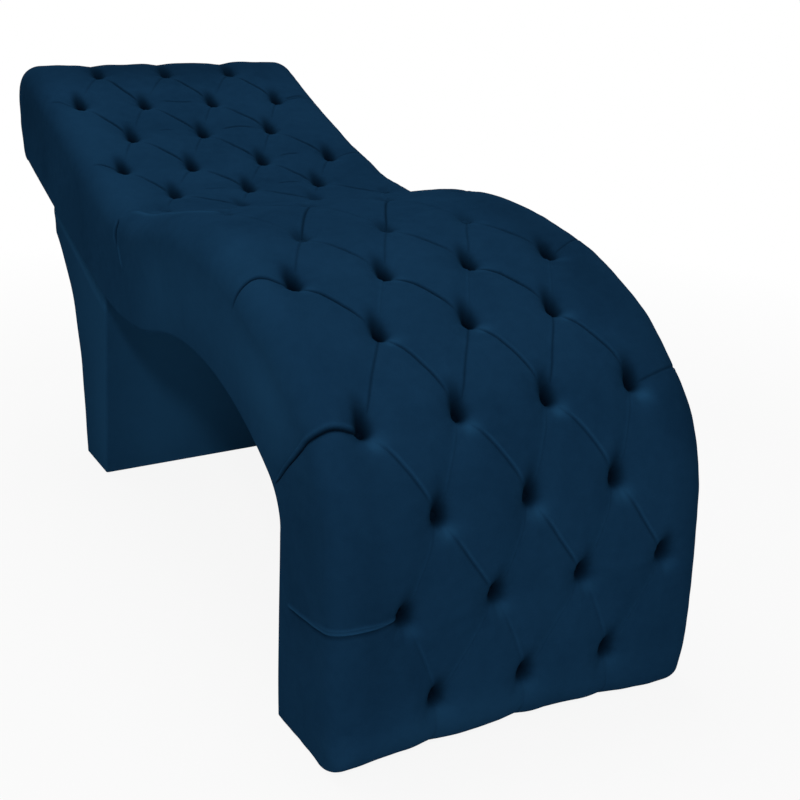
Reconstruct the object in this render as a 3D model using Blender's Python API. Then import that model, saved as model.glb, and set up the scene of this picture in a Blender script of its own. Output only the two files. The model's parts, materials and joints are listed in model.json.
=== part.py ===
"""Beauty treatment table: a deep-buttoned velvet chaise bed on a slab leg.

The bed is one slab that climbs from the floor at the foot end, turns over the
knee, dips at the hip and rises to a rolled head end.  Every piece of the slab
is laid out from one line in the YZ plane, the button line, on which the
buttons sit.  A place in the slab is a distance s along that line and a depth
below it.

Frame: X across, Y along the bed (foot end at -Y, head end at +Y), Z up, in
metres, with the origin on the floor under the middle of the bed.
"""
import math
from collections import namedtuple

import bmesh
import bpy
from mathutils import Matrix, Vector

# Button line: foot rise, knee, thigh and hip arcs, straight back, head roll
WIDTH = 0.610
FOOT_RISE = 0.312
KNEE_RADIUS = 0.258
KNEE_TURN = math.radians(55.9)
THIGH_RADIUS = 0.752
THIGH_TURN = math.radians(49.8)
HIP_RADIUS = 0.466
HIP_TURN = math.radians(35.6)
BACK_RUN = 0.470
HEAD_RADIUS = 0.053

# Slab: depths of its layers
TUFT_DEPTH = 0.032
SLAB_DEPTH = 0.200
COVER_FLOOR = 0.004
COVER_WALL = 0.004
SIDE_PAD = 0.010
FOAM_THICK = 0.0445
DECK_THICK = 0.003
RAIL_THICK = 0.018
LINING_THICK = 0.003
FLANGE_WIDTH = 0.050
EDGE_RADIUS = 0.035
FOOT_HEM_RADIUS = 0.055
FOAM_START = 0.040
HEAD_HEM_TUCK = 0.008
CLEARANCE = 0.0003
MERGE_DISTANCE = 0.00001

# Buttons: rows of three and four, half a pitch apart
ROWS = 15
WIDE_ROW = 4
ACROSS_PITCH = 0.150
FIRST_ROW = 0.093
LAST_ROW_SETBACK = 0.017
BUTTON_RADIUS = 0.0120
BUTTON_RISE = 0.0050
DIMPLE_REACH = 0.062
PLEAT_DEPTH = 0.0065
PLEAT_REACH = 0.20
LINES_PER_PITCH = 4

# Frame timbers
SLAT_WIDTH = 0.060
SLAT_THICK = 0.020
END_BOARD_THICK = 0.018
MOUNT_SLAT_WIDTH = 0.080
MOUNT_SLAT_THICK = 0.030

# Slab leg, measured in from the head end and up from the floor
LEG_INSET = 0.040
LEG_FLOOR_BACK = 0.2245
LEG_FLOOR_DEPTH = 0.145
LEG_LEAN = math.radians(9.8)
LEG_LIP_BACK = 0.083
LEG_FLARE_START = 0.200
LEG_FLARE_RADIUS = 0.346
LEG_COVER_WALL = 0.003
LEG_SIDE_THICK = 0.012
LEG_FRONT_THICK = 0.015
LEG_BACK_THICK = 0.009
LEG_PLATE_THICK = 0.018
LEG_RIB_THICK = 0.015

# Fasteners and glides
BOLT_RADIUS = 0.004
BOLT_HEAD_RADIUS = 0.0075
BOLT_HEAD_HEIGHT = 0.0053
BOLT_GRIP = 0.022
BOLT_SPREAD = 0.170
BOLT_SIDES = 12
WASHER_RADIUS = 0.012
WASHER_THICK = 0.002
GLIDE_RADIUS = 0.014
GLIDE_HEIGHT = 0.006
GLIDE_EDGE = 0.0015
GLIDE_SIDES = 16
GLIDE_INSET = 0.035

HEM_STEPS = 2
ROLL_STEPS = 3
ARC_STEP = math.radians(14)

UP = math.pi / 2
HALF_WIDTH = WIDTH / 2

# Depths of the layers below the button line
DEPTH_FOAM = COVER_FLOOR + CLEARANCE
DEPTH_DECK = DEPTH_FOAM + FOAM_THICK + CLEARANCE
DEPTH_RAIL = DEPTH_DECK + DECK_THICK + CLEARANCE
DEPTH_UNDER = SLAB_DEPTH - TUFT_DEPTH
DEPTH_FLANGE = DEPTH_UNDER - COVER_WALL
DEPTH_RAIL_END = DEPTH_FLANGE - CLEARANCE

# Distances from the middle plane
X_CAVITY = HALF_WIDTH - SIDE_PAD
X_RAIL = X_CAVITY - CLEARANCE
X_RAIL_INNER = X_RAIL - RAIL_THICK
X_SLAT = X_RAIL_INNER - CLEARANCE
X_OPENING = HALF_WIDTH - FLANGE_WIDTH
X_LINING = X_OPENING - CLEARANCE
X_LEG = HALF_WIDTH - LEG_INSET
X_LEG_SIDE = X_LEG - LEG_COVER_WALL - CLEARANCE
X_LEG_INNER = X_LEG_SIDE - LEG_SIDE_THICK - CLEARANCE

BACK_HEADING = UP - KNEE_TURN - THIGH_TURN + HIP_TURN
HEAD_TURN = UP + BACK_HEADING


def direction(heading):
    """Unit vector (y, z) along a heading."""
    return Vector((math.cos(heading), math.sin(heading)))


def inward(heading):
    """Unit vector (y, z) from the button line into the slab."""
    return Vector((math.sin(heading), -math.cos(heading)))


Run = namedtuple("Run", "start length point heading radius turn")


class ButtonLine:
    """A line of straight runs and arcs in the YZ plane, read by distance along it."""

    def __init__(self, start, heading, runs):
        self.runs = []
        self.length = 0.0
        point = Vector(start)
        for length, radius, turn in runs:
            self.runs.append(Run(self.length, length, point.copy(), heading, radius, turn))
            self.length += length
            point, heading = self.along(self.runs[-1], length)

    @staticmethod
    def along(run, distance):
        """Point and heading at a distance along one run."""
        if not run.radius:
            return run.point + direction(run.heading) * distance, run.heading
        reach = math.copysign(run.radius, run.turn)
        centre = run.point - inward(run.heading) * reach
        heading = run.heading + run.turn * distance / run.length
        return centre + inward(heading) * reach, heading

    def place(self, s, depth=0.0):
        """Point at a distance along the line and a depth below it."""
        point, heading = self.frame(s)
        return point + inward(heading) * depth

    def frame(self, s):
        """Point and heading at a distance along the line."""
        run = self.run_at(s)
        return self.along(run, s - run.start)

    def run_at(self, s):
        """The run that holds a distance along the line."""
        return next((run for run in reversed(self.runs) if s >= run.start), self.runs[0])

    def stations(self, start, end):
        """Distances that divide the line between two of its points, arcs into short steps."""
        found = [start]
        for run in self.runs:
            steps = math.ceil(abs(run.turn) / ARC_STEP) if run.radius else 1
            found += [run.start + run.length * i / steps for i in range(steps + 1)]
        inside = sorted(s for s in found if start < s < end)
        spaced = [start]
        for s in inside:
            if s - spaced[-1] > CLEARANCE:
                spaced.append(s)
        return spaced + [end]

    def band(self, start, end, top, bottom):
        """Closed outline of the slab between two distances and two depths."""
        stations = self.stations(start, end)
        upper = [self.place(s, top) for s in stations]
        lower = [self.place(s, bottom) for s in reversed(stations)]
        return upper + lower


def arc_run(radius, turn):
    return abs(turn) * radius, radius, turn


def make_button_line():
    """The button line, centred on the bed's length and ended at the slab's lower edge."""
    runs = [
        (FOOT_RISE, 0.0, 0.0),
        arc_run(KNEE_RADIUS, -KNEE_TURN),
        arc_run(THIGH_RADIUS, -THIGH_TURN),
        arc_run(HIP_RADIUS, HIP_TURN),
        (BACK_RUN, 0.0, 0.0),
        arc_run(HEAD_RADIUS, -HEAD_TURN),
    ]
    trial = ButtonLine((0.0, 0.0), UP, runs)
    back_end = trial.place(trial.runs[-1].start, DEPTH_UNDER)
    roll_end = trial.place(trial.length)
    head_y = roll_end.x + TUFT_DEPTH
    lower_edge = back_end.y + (head_y - back_end.x) * math.tan(BACK_HEADING)
    runs.append((roll_end.y - lower_edge, 0.0, 0.0))
    middle = (head_y - TUFT_DEPTH) / 2
    return ButtonLine((-middle, 0.0), UP, runs)


LINE = make_button_line()
FOOT, KNEE, THIGH, HIP, BACK, ROLL, _ = LINE.runs
S_FOOT = GLIDE_HEIGHT + CLEARANCE
S_CAVITY = S_FOOT + COVER_WALL
S_INNER = S_CAVITY + CLEARANCE
S_BACK = BACK.start
S_ROLL = ROLL.start
S_INNER_END = S_ROLL - CLEARANCE
S_LAST_ROW = S_ROLL - LAST_ROW_SETBACK
ROW_PITCH = (S_LAST_ROW - FIRST_ROW) / (ROWS - 1)
Y_HEAD = LINE.place(LINE.length, -TUFT_DEPTH).x


def underside(y, drop=0.0):
    """Height of the straight underside behind the hip at y, lowered square to it by drop."""
    corner = LINE.place(S_ROLL, DEPTH_UNDER + drop)
    return corner.y + (y - corner.x) * math.tan(BACK_HEADING)


def clear_scene():
    for item in list(bpy.data.objects):
        bpy.data.objects.remove(item, do_unlink=True)


def new_collection(name):
    collection = bpy.data.collections.new(name)
    bpy.context.scene.collection.children.link(collection)
    return collection


def new_material(name, colour, roughness, metallic=0.0):
    material = bpy.data.materials.new(name)
    material.use_nodes = True
    shader = material.node_tree.nodes["Principled BSDF"]
    shader.inputs["Base Color"].default_value = (*colour, 1.0)
    shader.inputs["Roughness"].default_value = roughness
    shader.inputs["Metallic"].default_value = metallic
    return material


clear_scene()
PARTS = new_collection("beauty_treatment_table")
CUTTERS = new_collection("cutters")
VELVET = new_material("velvet", (0.006, 0.030, 0.070), 0.85)
PLYWOOD = new_material("plywood", (0.55, 0.40, 0.25), 0.70)
TIMBER = new_material("timber", (0.60, 0.45, 0.28), 0.75)
HARDBOARD = new_material("hardboard", (0.25, 0.15, 0.08), 0.65)
FOAM = new_material("foam", (0.85, 0.80, 0.60), 0.95)
LINING = new_material("lining", (0.015, 0.015, 0.017), 0.90)
STEEL = new_material("steel", (0.60, 0.60, 0.62), 0.35, 1.0)
PLASTIC = new_material("plastic", (0.020, 0.020, 0.022), 0.50)


def add_mesh(name, mesh, material, collection=None):
    """A mesh's object in the parts, or in the cutters with no material."""
    item = bpy.data.objects.new(name, mesh)
    (collection or PARTS).objects.link(item)
    if material:
        mesh.materials.clear()
        mesh.materials.append(material)
    return item


def add_bmesh(name, shape, material, collection=None, smooth_below=None):
    """Turn a closed bmesh into an object, faces outward."""
    bmesh.ops.recalc_face_normals(shape, faces=shape.faces)
    mesh = bpy.data.meshes.new(name)
    shape.to_mesh(mesh)
    shape.free()
    if smooth_below:
        mesh.shade_smooth()
        mesh.set_sharp_from_angle(angle=smooth_below)
    return add_mesh(name, mesh, material, collection)


def add_outline(name, points, x_from, x_to, material, collection=None):
    """A flat outline of (y, z) points, as thick as the stretch of X that it fills."""
    curve = bpy.data.curves.new(name, "CURVE")
    curve.dimensions = "2D"
    curve.fill_mode = "BOTH"
    curve.extrude = abs(x_to - x_from) / 2
    spline = curve.splines.new("POLY")
    spline.points.add(len(points) - 1)
    for knot, point in zip(spline.points, points):
        knot.co = (point[0], point[1], 0.0, 1.0)
    spline.use_cyclic_u = True
    guide = bpy.data.objects.new(name + "_outline", curve)
    CUTTERS.objects.link(guide)
    guide.matrix_world = Matrix.Translation(((x_from + x_to) / 2, 0, 0)) @ YZ_PLANE
    bpy.context.view_layer.update()
    evaluated = guide.evaluated_get(bpy.context.evaluated_depsgraph_get())
    mesh = bpy.data.meshes.new_from_object(evaluated)
    placing = guide.matrix_world.copy()
    bpy.data.objects.remove(guide, do_unlink=True)
    shape = bmesh.new()
    shape.from_mesh(mesh)
    bpy.data.meshes.remove(mesh)
    bmesh.ops.remove_doubles(shape, verts=shape.verts, dist=MERGE_DISTANCE)
    item = add_bmesh(name, shape, material, collection)
    item.matrix_world = placing
    return item


# Local x, y and z of a flat outline laid on world Y, Z and X
YZ_PLANE = Matrix(((0, 0, 1, 0), (1, 0, 0, 0), (0, 1, 0, 0), (0, 0, 0, 1)))


def slab_frame(s, depth, x=0.0):
    """Placing matrix at a place in the slab: local Z out of the slab, local Y along it."""
    point, heading = LINE.frame(s)
    point = point + inward(heading) * depth
    along = direction(heading)
    out = -inward(heading)
    matrix = Matrix.Identity(4)
    matrix.col[1] = (0.0, along.x, along.y, 0.0)
    matrix.col[2] = (0.0, out.x, out.y, 0.0)
    matrix.col[3] = (x, point.x, point.y, 1.0)
    return matrix


def add_board(name, s, depth, width, thick, half_length, material):
    """A straight board across the slab, its upper face at a depth below the button line."""
    shape = bmesh.new()
    bmesh.ops.create_cube(shape, size=1.0)
    size = Matrix.Diagonal((2 * half_length, width, thick, 1.0))
    shape.transform(Matrix.Translation((0, 0, -thick / 2)) @ size)
    item = add_bmesh(name, shape, material)
    item.matrix_world = slab_frame(s, depth)
    return item


def add_turned(name, profile, place, sides, material, collection=None, ring=False):
    """A turned profile of (radius, height) points, stood at a placing matrix."""
    shape = bmesh.new()
    verts = [shape.verts.new((radius, 0, height)) for radius, height in profile]
    pairs = list(zip(verts, verts[1:]))
    if ring:
        pairs.append((verts[-1], verts[0]))
    edges = [shape.edges.new(pair) for pair in pairs]
    turn = 2 * math.pi
    bmesh.ops.spin(shape, geom=verts + edges, angle=turn, steps=sides, axis=(0, 0, 1), use_merge=True)
    bmesh.ops.remove_doubles(shape, verts=shape.verts, dist=MERGE_DISTANCE)
    item = add_bmesh(name, shape, material, collection, smooth_below=math.radians(40))
    item.matrix_world = place
    return item


def cut(item, *cutters):
    """Cut closed shapes out of a part."""
    for cutter in cutters:
        cutter.hide_render = True
        cutter.display_type = "WIRE"
        boolean = item.modifiers.new(cutter.name, "BOOLEAN")
        boolean.operation = "DIFFERENCE"
        boolean.solver = "EXACT"
        boolean.object = cutter


def row_columns(row):
    """Places of one row's buttons across the bed, in pitches from the middle."""
    count = WIDE_ROW if row % 2 else WIDE_ROW - 1
    return [i - (count - 1) / 2 for i in range(count)]


BUTTONS = [(column, row) for row in range(ROWS) for column in row_columns(row)]
OUTER_COLUMN = (WIDE_ROW - 1) / 2
FLAT_COLUMN = WIDE_ROW / 2 - 1 / LINES_PER_PITCH


def pleat_nearness(column, row):
    """1 on a pleat and 0 away from it; pleats run between buttons, then straight to the edges."""
    if row < 0 or row > ROWS - 1:
        off = abs(column - round(column)) if abs(column) < OUTER_COLUMN else PLEAT_REACH
    elif abs(column) > OUTER_COLUMN:
        off = abs(row - 1 - 2 * round((row - 1) / 2)) / 2
    else:
        diagonals = (column + row / 2, column - row / 2)
        off = min(abs(d - round(d)) for d in diagonals)
    return max(0.0, 1.0 - off / PLEAT_REACH)


def nearest_button(across, s):
    """Distance to the nearest button on the flat cloth, and that button's place along the line."""
    spots = [(column * ACROSS_PITCH, FIRST_ROW + row * ROW_PITCH) for column, row in BUTTONS]
    return min((math.hypot(across - x, s - along), along) for x, along in spots)


def tuft_height(across, s):
    """Height of the stuffed cover above the button line at a place on the flat cloth."""
    distance, _ = nearest_button(across, s)
    reach = max(0.0, 1.0 - max(0.0, distance - BUTTON_RADIUS) / (DIMPLE_REACH - BUTTON_RADIUS))
    dimple = TUFT_DEPTH * reach ** 2
    pleat = PLEAT_DEPTH * pleat_nearness(across / ACROSS_PITCH, (s - FIRST_ROW) / ROW_PITCH)
    fade = min(1.0, max(0.0, (HALF_WIDTH - abs(across)) / EDGE_RADIUS))
    return TUFT_DEPTH - max(dimple, pleat * fade * (1.0 - reach))


def foot_hem(s):
    """How far the cover is drawn in at the foot end, where it rounds under to the floor."""
    short = max(0.0, S_FOOT + FOOT_HEM_RADIUS - s)
    return FOOT_HEM_RADIUS - math.sqrt(max(0.0, FOOT_HEM_RADIUS ** 2 - short ** 2))


def cover_point(across, s):
    """Where a place on the flat cloth lies on the stuffed bed."""
    distance, button_s = nearest_button(across, s)
    if distance < BUTTON_RADIUS + CLEARANCE:
        dome = BUTTON_RISE * max(0.0, 1.0 - (distance / BUTTON_RADIUS) ** 2)
        return slab_frame(button_s, 0.0) @ Vector((across, s - button_s, dome))
    over = max(0.0, abs(across) - (HALF_WIDTH - EDGE_RADIUS)) / EDGE_RADIUS
    x = min(abs(across), HALF_WIDTH - EDGE_RADIUS) + EDGE_RADIUS * math.sin(over)
    drop = EDGE_RADIUS * (1.0 - math.cos(over))
    drop += foot_hem(s)
    if s >= LINE.length:
        drop += HEAD_HEM_TUCK
    point = LINE.place(s, drop - tuft_height(across, s))
    z = underside(point.x) if s >= LINE.length else point.y
    return Vector((math.copysign(x, across), point.x, z))


def cover_columns():
    """Places of the cloth's lines across the bed, out to the edge where it turns down the side."""
    lines = round(FLAT_COLUMN * LINES_PER_PITCH)
    flat = [i / LINES_PER_PITCH * ACROSS_PITCH for i in range(-lines, lines + 1)]
    turn = [HALF_WIDTH - EDGE_RADIUS + EDGE_RADIUS * UP * part for part in (0.5, 1.0)]
    return [-t for t in reversed(turn)] + flat + turn


def cover_stations():
    """Places of the cloth's lines along the bed, two to each row of buttons."""
    rows = [FIRST_ROW + ROW_PITCH * i / 2 for i in range(2 * ROWS - 1)]
    head = [S_ROLL + ROLL.length * i / ROLL_STEPS for i in range(1, ROLL_STEPS + 1)] + [LINE.length]
    hem = [S_FOOT + FOOT_HEM_RADIUS * (1 - math.cos(UP * i / HEM_STEPS)) for i in range(HEM_STEPS + 1)]
    return hem + rows + head


def flat_cloth(columns, stations):
    """The cover's top laid flat: a grid with its pleats marked and a button in each dimple."""
    cloth = bmesh.new()
    bmesh.ops.create_grid(cloth, x_segments=len(columns) - 1, y_segments=len(stations) - 1, size=0.5)
    lattice = {}
    for vert in cloth.verts:
        i = round((vert.co.x + 0.5) * (len(columns) - 1))
        j = round((vert.co.y + 0.5) * (len(stations) - 1))
        vert.co = (columns[i], stations[j], 0.0)
        across = round(columns[i] / ACROSS_PITCH * LINES_PER_PITCH)
        lattice[across, j - HEM_STEPS - 1] = vert
    seats = []
    for column, row in BUTTONS:
        here = (round(column * LINES_PER_PITCH), row * 2)
        seats.append(lattice[here])
        for across in (-1, 1):
            for along in (-1, 1):
                beyond = abs(column + across / 2) > OUTER_COLUMN or not 0 <= row + along < ROWS
                other = lattice.get((here[0] + across, here[1] + along))
                if other and not beyond:
                    bmesh.ops.connect_verts(cloth, verts=[lattice[here], other])
    rims = bmesh.ops.bevel(cloth, geom=seats, offset=BUTTON_RADIUS, segments=1, affect="VERTICES")
    bmesh.ops.poke(cloth, faces=rims["faces"])
    return cloth


def stuffed_cover():
    """The cover as a closed body: buttoned top, flat sides and underside."""
    columns = cover_columns()
    stations = cover_stations()
    shape = flat_cloth(columns, stations)
    edges = {}
    for vert in shape.verts:
        flat = vert.co.copy()
        for side in (columns[0], columns[-1]):
            if abs(flat.x - side) < CLEARANCE:
                edges.setdefault(side, []).append((flat.y, vert))
        for end in (stations[0], stations[-1]):
            if abs(flat.y - end) < CLEARANCE:
                edges.setdefault(("end", end), []).append((flat.x, vert))
        vert.co = cover_point(flat.x, flat.y)
    bmesh.ops.triangulate(shape, faces=shape.faces)
    under = LINE.stations(S_FOOT, S_ROLL)
    hems = {}
    for side in (columns[0], columns[-1]):
        x = math.copysign(HALF_WIDTH, side)
        hems[side] = [shape.verts.new((x, *LINE.place(s, DEPTH_UNDER))) for s in under]
        edge = [vert for _, vert in sorted(edges[side], key=lambda pair: pair[0])]
        shape.faces.new(edge + hems[side][::-1])
    left, right = hems[columns[0]], hems[columns[-1]]
    for near, far in zip(range(len(under)), range(1, len(under))):
        shape.faces.new((left[near], right[near], right[far], left[far]))
    for end, corner in ((stations[0], 0), (stations[-1], -1)):
        edge = [vert for _, vert in sorted(edges["end", end], key=lambda pair: pair[0])]
        shape.faces.new(edge + [right[corner], left[corner]])
    return shape


def add_cover():
    """The buttoned velvet cover with its stuffing, hollow for the foam and open below."""
    cover = add_bmesh("velvet_cover", stuffed_cover(), VELVET, smooth_below=math.radians(50))
    foam_room = LINE.band(FOAM_START - CLEARANCE, S_ROLL, COVER_FLOOR, DEPTH_RAIL)
    frame_room = LINE.band(S_CAVITY, S_ROLL, DEPTH_RAIL - CLEARANCE, DEPTH_FLANGE)
    opening = LINE.band(S_CAVITY + FLANGE_WIDTH, S_ROLL - FLANGE_WIDTH, DEPTH_RAIL_END, SLAB_DEPTH)
    cut(
        cover,
        add_outline("foam_room", foam_room, -X_CAVITY, X_CAVITY, None, CUTTERS),
        add_outline("frame_room", frame_room, -X_CAVITY, X_CAVITY, None, CUTTERS),
        add_outline("cover_opening", opening, -X_OPENING, X_OPENING, None, CUTTERS),
    )


def add_slab_layers():
    """Foam, deck and side rails, one below the other inside the cover."""
    foam = LINE.band(FOAM_START, S_INNER_END, DEPTH_FOAM, DEPTH_FOAM + FOAM_THICK)
    add_outline("foam_pad", foam, -X_RAIL, X_RAIL, FOAM)
    deck = LINE.band(FOAM_START, S_INNER_END, DEPTH_DECK, DEPTH_DECK + DECK_THICK)
    add_outline("deck_sheet", deck, -X_RAIL, X_RAIL, HARDBOARD)
    rail = LINE.band(S_INNER, S_INNER_END, DEPTH_RAIL, DEPTH_RAIL_END)
    add_outline("side_rail_left", rail, -X_RAIL, -X_RAIL_INNER, PLYWOOD)
    add_outline("side_rail_right", rail, X_RAIL_INNER, X_RAIL, PLYWOOD)


def slat_depth(s):
    """Depth of a slat's flat upper face that clears the deck where the slab curves."""
    run = LINE.run_at(s)
    if not run.radius:
        return DEPTH_RAIL
    radius = run.radius + math.copysign(DEPTH_RAIL, run.turn)
    return DEPTH_RAIL + radius * (1 - math.cos(ARC_STEP / 2)) + SLAT_WIDTH ** 2 / (8 * radius)


def add_cross_boards():
    """Slats between the rails, and a board closing each end."""
    foot, knee, thigh, hip, back = [run.start + run.length / 2 for run in (FOOT, KNEE, THIGH, HIP, BACK)]
    thigh_step = THIGH.length / 4
    slats = [foot, knee, thigh - thigh_step, thigh, thigh + thigh_step, hip, back]
    for number, s in enumerate(slats, start=1):
        add_board(f"cross_slat_{number}", s, slat_depth(s), SLAT_WIDTH, SLAT_THICK, X_SLAT, TIMBER)
    depth = DEPTH_RAIL_END - DEPTH_RAIL
    for name, s in (
        ("foot_end_board", S_INNER + END_BOARD_THICK / 2),
        ("head_end_board", S_INNER_END - END_BOARD_THICK / 2),
    ):
        add_board(name, s, DEPTH_RAIL, END_BOARD_THICK, depth, X_SLAT, PLYWOOD)


class LegProfile:
    """Side outline of the slab leg, offset inward by an inset."""

    def __init__(self, inset):
        self.inset = inset
        self.back = Y_HEAD - LEG_FLOOR_BACK - inset
        self.lip = Y_HEAD - LEG_LIP_BACK - inset
        self.front = Y_HEAD - LEG_FLOOR_BACK - LEG_FLOOR_DEPTH + inset / math.cos(LEG_LEAN)

    def front_at(self, z):
        return self.front - z * math.tan(LEG_LEAN)

    def front_top(self, drop):
        """Where the leaning front meets the underside lowered by drop."""
        level = underside(self.front, drop)
        slope = math.tan(BACK_HEADING)
        z = level / (1 + slope * math.tan(LEG_LEAN))
        return Vector((self.front_at(z), z))

    def back_points(self, bottom, drop):
        """The back from the underside down: lip, hollow flare and straight shin."""
        radius = LEG_FLARE_RADIUS + self.inset
        centre_y = self.back + radius
        sweep = math.acos(max(-1.0, (centre_y - self.lip) / radius))
        steps = math.ceil(sweep / ARC_STEP)
        points = [Vector((self.lip, underside(self.lip, drop)))]
        for i in range(steps, -1, -1):
            angle = sweep * i / steps
            z = LEG_FLARE_START + radius * math.sin(angle)
            points.append(Vector((centre_y - radius * math.cos(angle), z)))
        return points + [Vector((self.back, bottom))]

    def closed(self, bottom, drop):
        """The whole outline between a bottom height and the lowered underside."""
        front = [Vector((self.front_at(bottom), bottom)), self.front_top(drop)]
        return front + self.back_points(bottom, drop)


def between(outer, inner, bottom, drop):
    """Outline of a bent back panel between two insets of the leg."""
    return outer.back_points(bottom, drop) + inner.back_points(bottom, drop)[::-1]


LEG_BOTTOM = GLIDE_HEIGHT + CLEARANCE
LEG_SKIN = LegProfile(0.0)
LEG_LINED = LegProfile(LEG_COVER_WALL)
LEG_FRAME = LegProfile(LEG_COVER_WALL + CLEARANCE)
LEG_BACK_INNER = LegProfile(LEG_FRAME.inset + LEG_BACK_THICK)
LEG_FRONT_INNER = LegProfile(LEG_FRAME.inset + LEG_FRONT_THICK)
LEG_BACK_CLEAR = LegProfile(LEG_BACK_INNER.inset + CLEARANCE)
LEG_FRONT_CLEAR = LegProfile(LEG_FRONT_INNER.inset + CLEARANCE)
PLATE_DROP = CLEARANCE
PLATE_UNDER = PLATE_DROP + LEG_PLATE_THICK
RIB_DROP = PLATE_UNDER + CLEARANCE
FLOOR_BOARD_TOP = LEG_BOTTOM + LEG_PLATE_THICK
RIB_BOTTOM = FLOOR_BOARD_TOP + CLEARANCE


def add_leg_panels():
    """Plywood box of the leg: sides, leaning front, bent back, floor board, top plate and rib."""
    side = LEG_FRAME.closed(LEG_BOTTOM, CLEARANCE)
    x_side_inner = X_LEG_SIDE - LEG_SIDE_THICK
    add_outline("leg_side_left", side, -X_LEG_SIDE, -x_side_inner, PLYWOOD)
    add_outline("leg_side_right", side, x_side_inner, X_LEG_SIDE, PLYWOOD)
    front = [
        Vector((LEG_FRAME.front_at(LEG_BOTTOM), LEG_BOTTOM)),
        LEG_FRAME.front_top(CLEARANCE),
        LEG_FRONT_INNER.front_top(CLEARANCE),
        Vector((LEG_FRONT_INNER.front_at(LEG_BOTTOM), LEG_BOTTOM)),
    ]
    add_outline("leg_front_panel", front, -X_LEG_INNER, X_LEG_INNER, PLYWOOD)
    back = between(LEG_FRAME, LEG_BACK_INNER, LEG_BOTTOM, CLEARANCE)
    add_outline("leg_back_panel", back, -X_LEG_INNER, X_LEG_INNER, PLYWOOD)
    floor_board = [
        Vector((LEG_FRONT_CLEAR.front_at(LEG_BOTTOM), LEG_BOTTOM)),
        Vector((LEG_FRONT_CLEAR.front_at(FLOOR_BOARD_TOP), FLOOR_BOARD_TOP)),
        Vector((LEG_BACK_CLEAR.back, FLOOR_BOARD_TOP)),
        Vector((LEG_BACK_CLEAR.back, LEG_BOTTOM)),
    ]
    add_outline("leg_floor_board", floor_board, -X_LEG_INNER, X_LEG_INNER, PLYWOOD)
    rib = [
        Vector((LEG_FRONT_CLEAR.front_at(RIB_BOTTOM), RIB_BOTTOM)),
        LEG_FRONT_CLEAR.front_top(RIB_DROP),
        *LEG_BACK_CLEAR.back_points(RIB_BOTTOM, RIB_DROP),
    ]
    add_outline("leg_centre_rib", rib, -LEG_RIB_THICK / 2, LEG_RIB_THICK / 2, PLYWOOD)


def top_plate():
    """The plate that bolts to the slab, between the leg's front and back panels."""
    outline = [
        LEG_FRONT_CLEAR.front_top(PLATE_UNDER),
        LEG_FRONT_CLEAR.front_top(PLATE_DROP),
        Vector((LEG_BACK_CLEAR.lip, underside(LEG_BACK_CLEAR.lip, PLATE_DROP))),
        Vector((LEG_BACK_CLEAR.lip, underside(LEG_BACK_CLEAR.lip, PLATE_UNDER))),
    ]
    return add_outline("leg_top_plate", outline, -X_LEG_INNER, X_LEG_INNER, PLYWOOD)


def add_leg_cover():
    """The leg's velvet sleeve, open above and below."""
    sleeve = add_outline("leg_cover", LEG_SKIN.closed(LEG_BOTTOM, CLEARANCE), -X_LEG, X_LEG, VELVET)
    hollow = LEG_LINED.closed(LEG_BOTTOM - COVER_WALL, -COVER_WALL)
    x_hollow = X_LEG - LEG_COVER_WALL
    cut(sleeve, add_outline("leg_hollow", hollow, -x_hollow, x_hollow, None, CUTTERS))


def bolt_stations():
    """Places along the button line of the two bolted slats, at the quarters of the leg's top."""
    front = LEG_FRONT_CLEAR.front_top(PLATE_DROP).x
    quarter = (LEG_BACK_CLEAR.lip - front) / 4
    start = LINE.place(S_BACK, DEPTH_UNDER).x
    return [S_BACK + (y - start) / math.cos(BACK_HEADING) for y in (front + quarter, front + 3 * quarter)]


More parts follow.
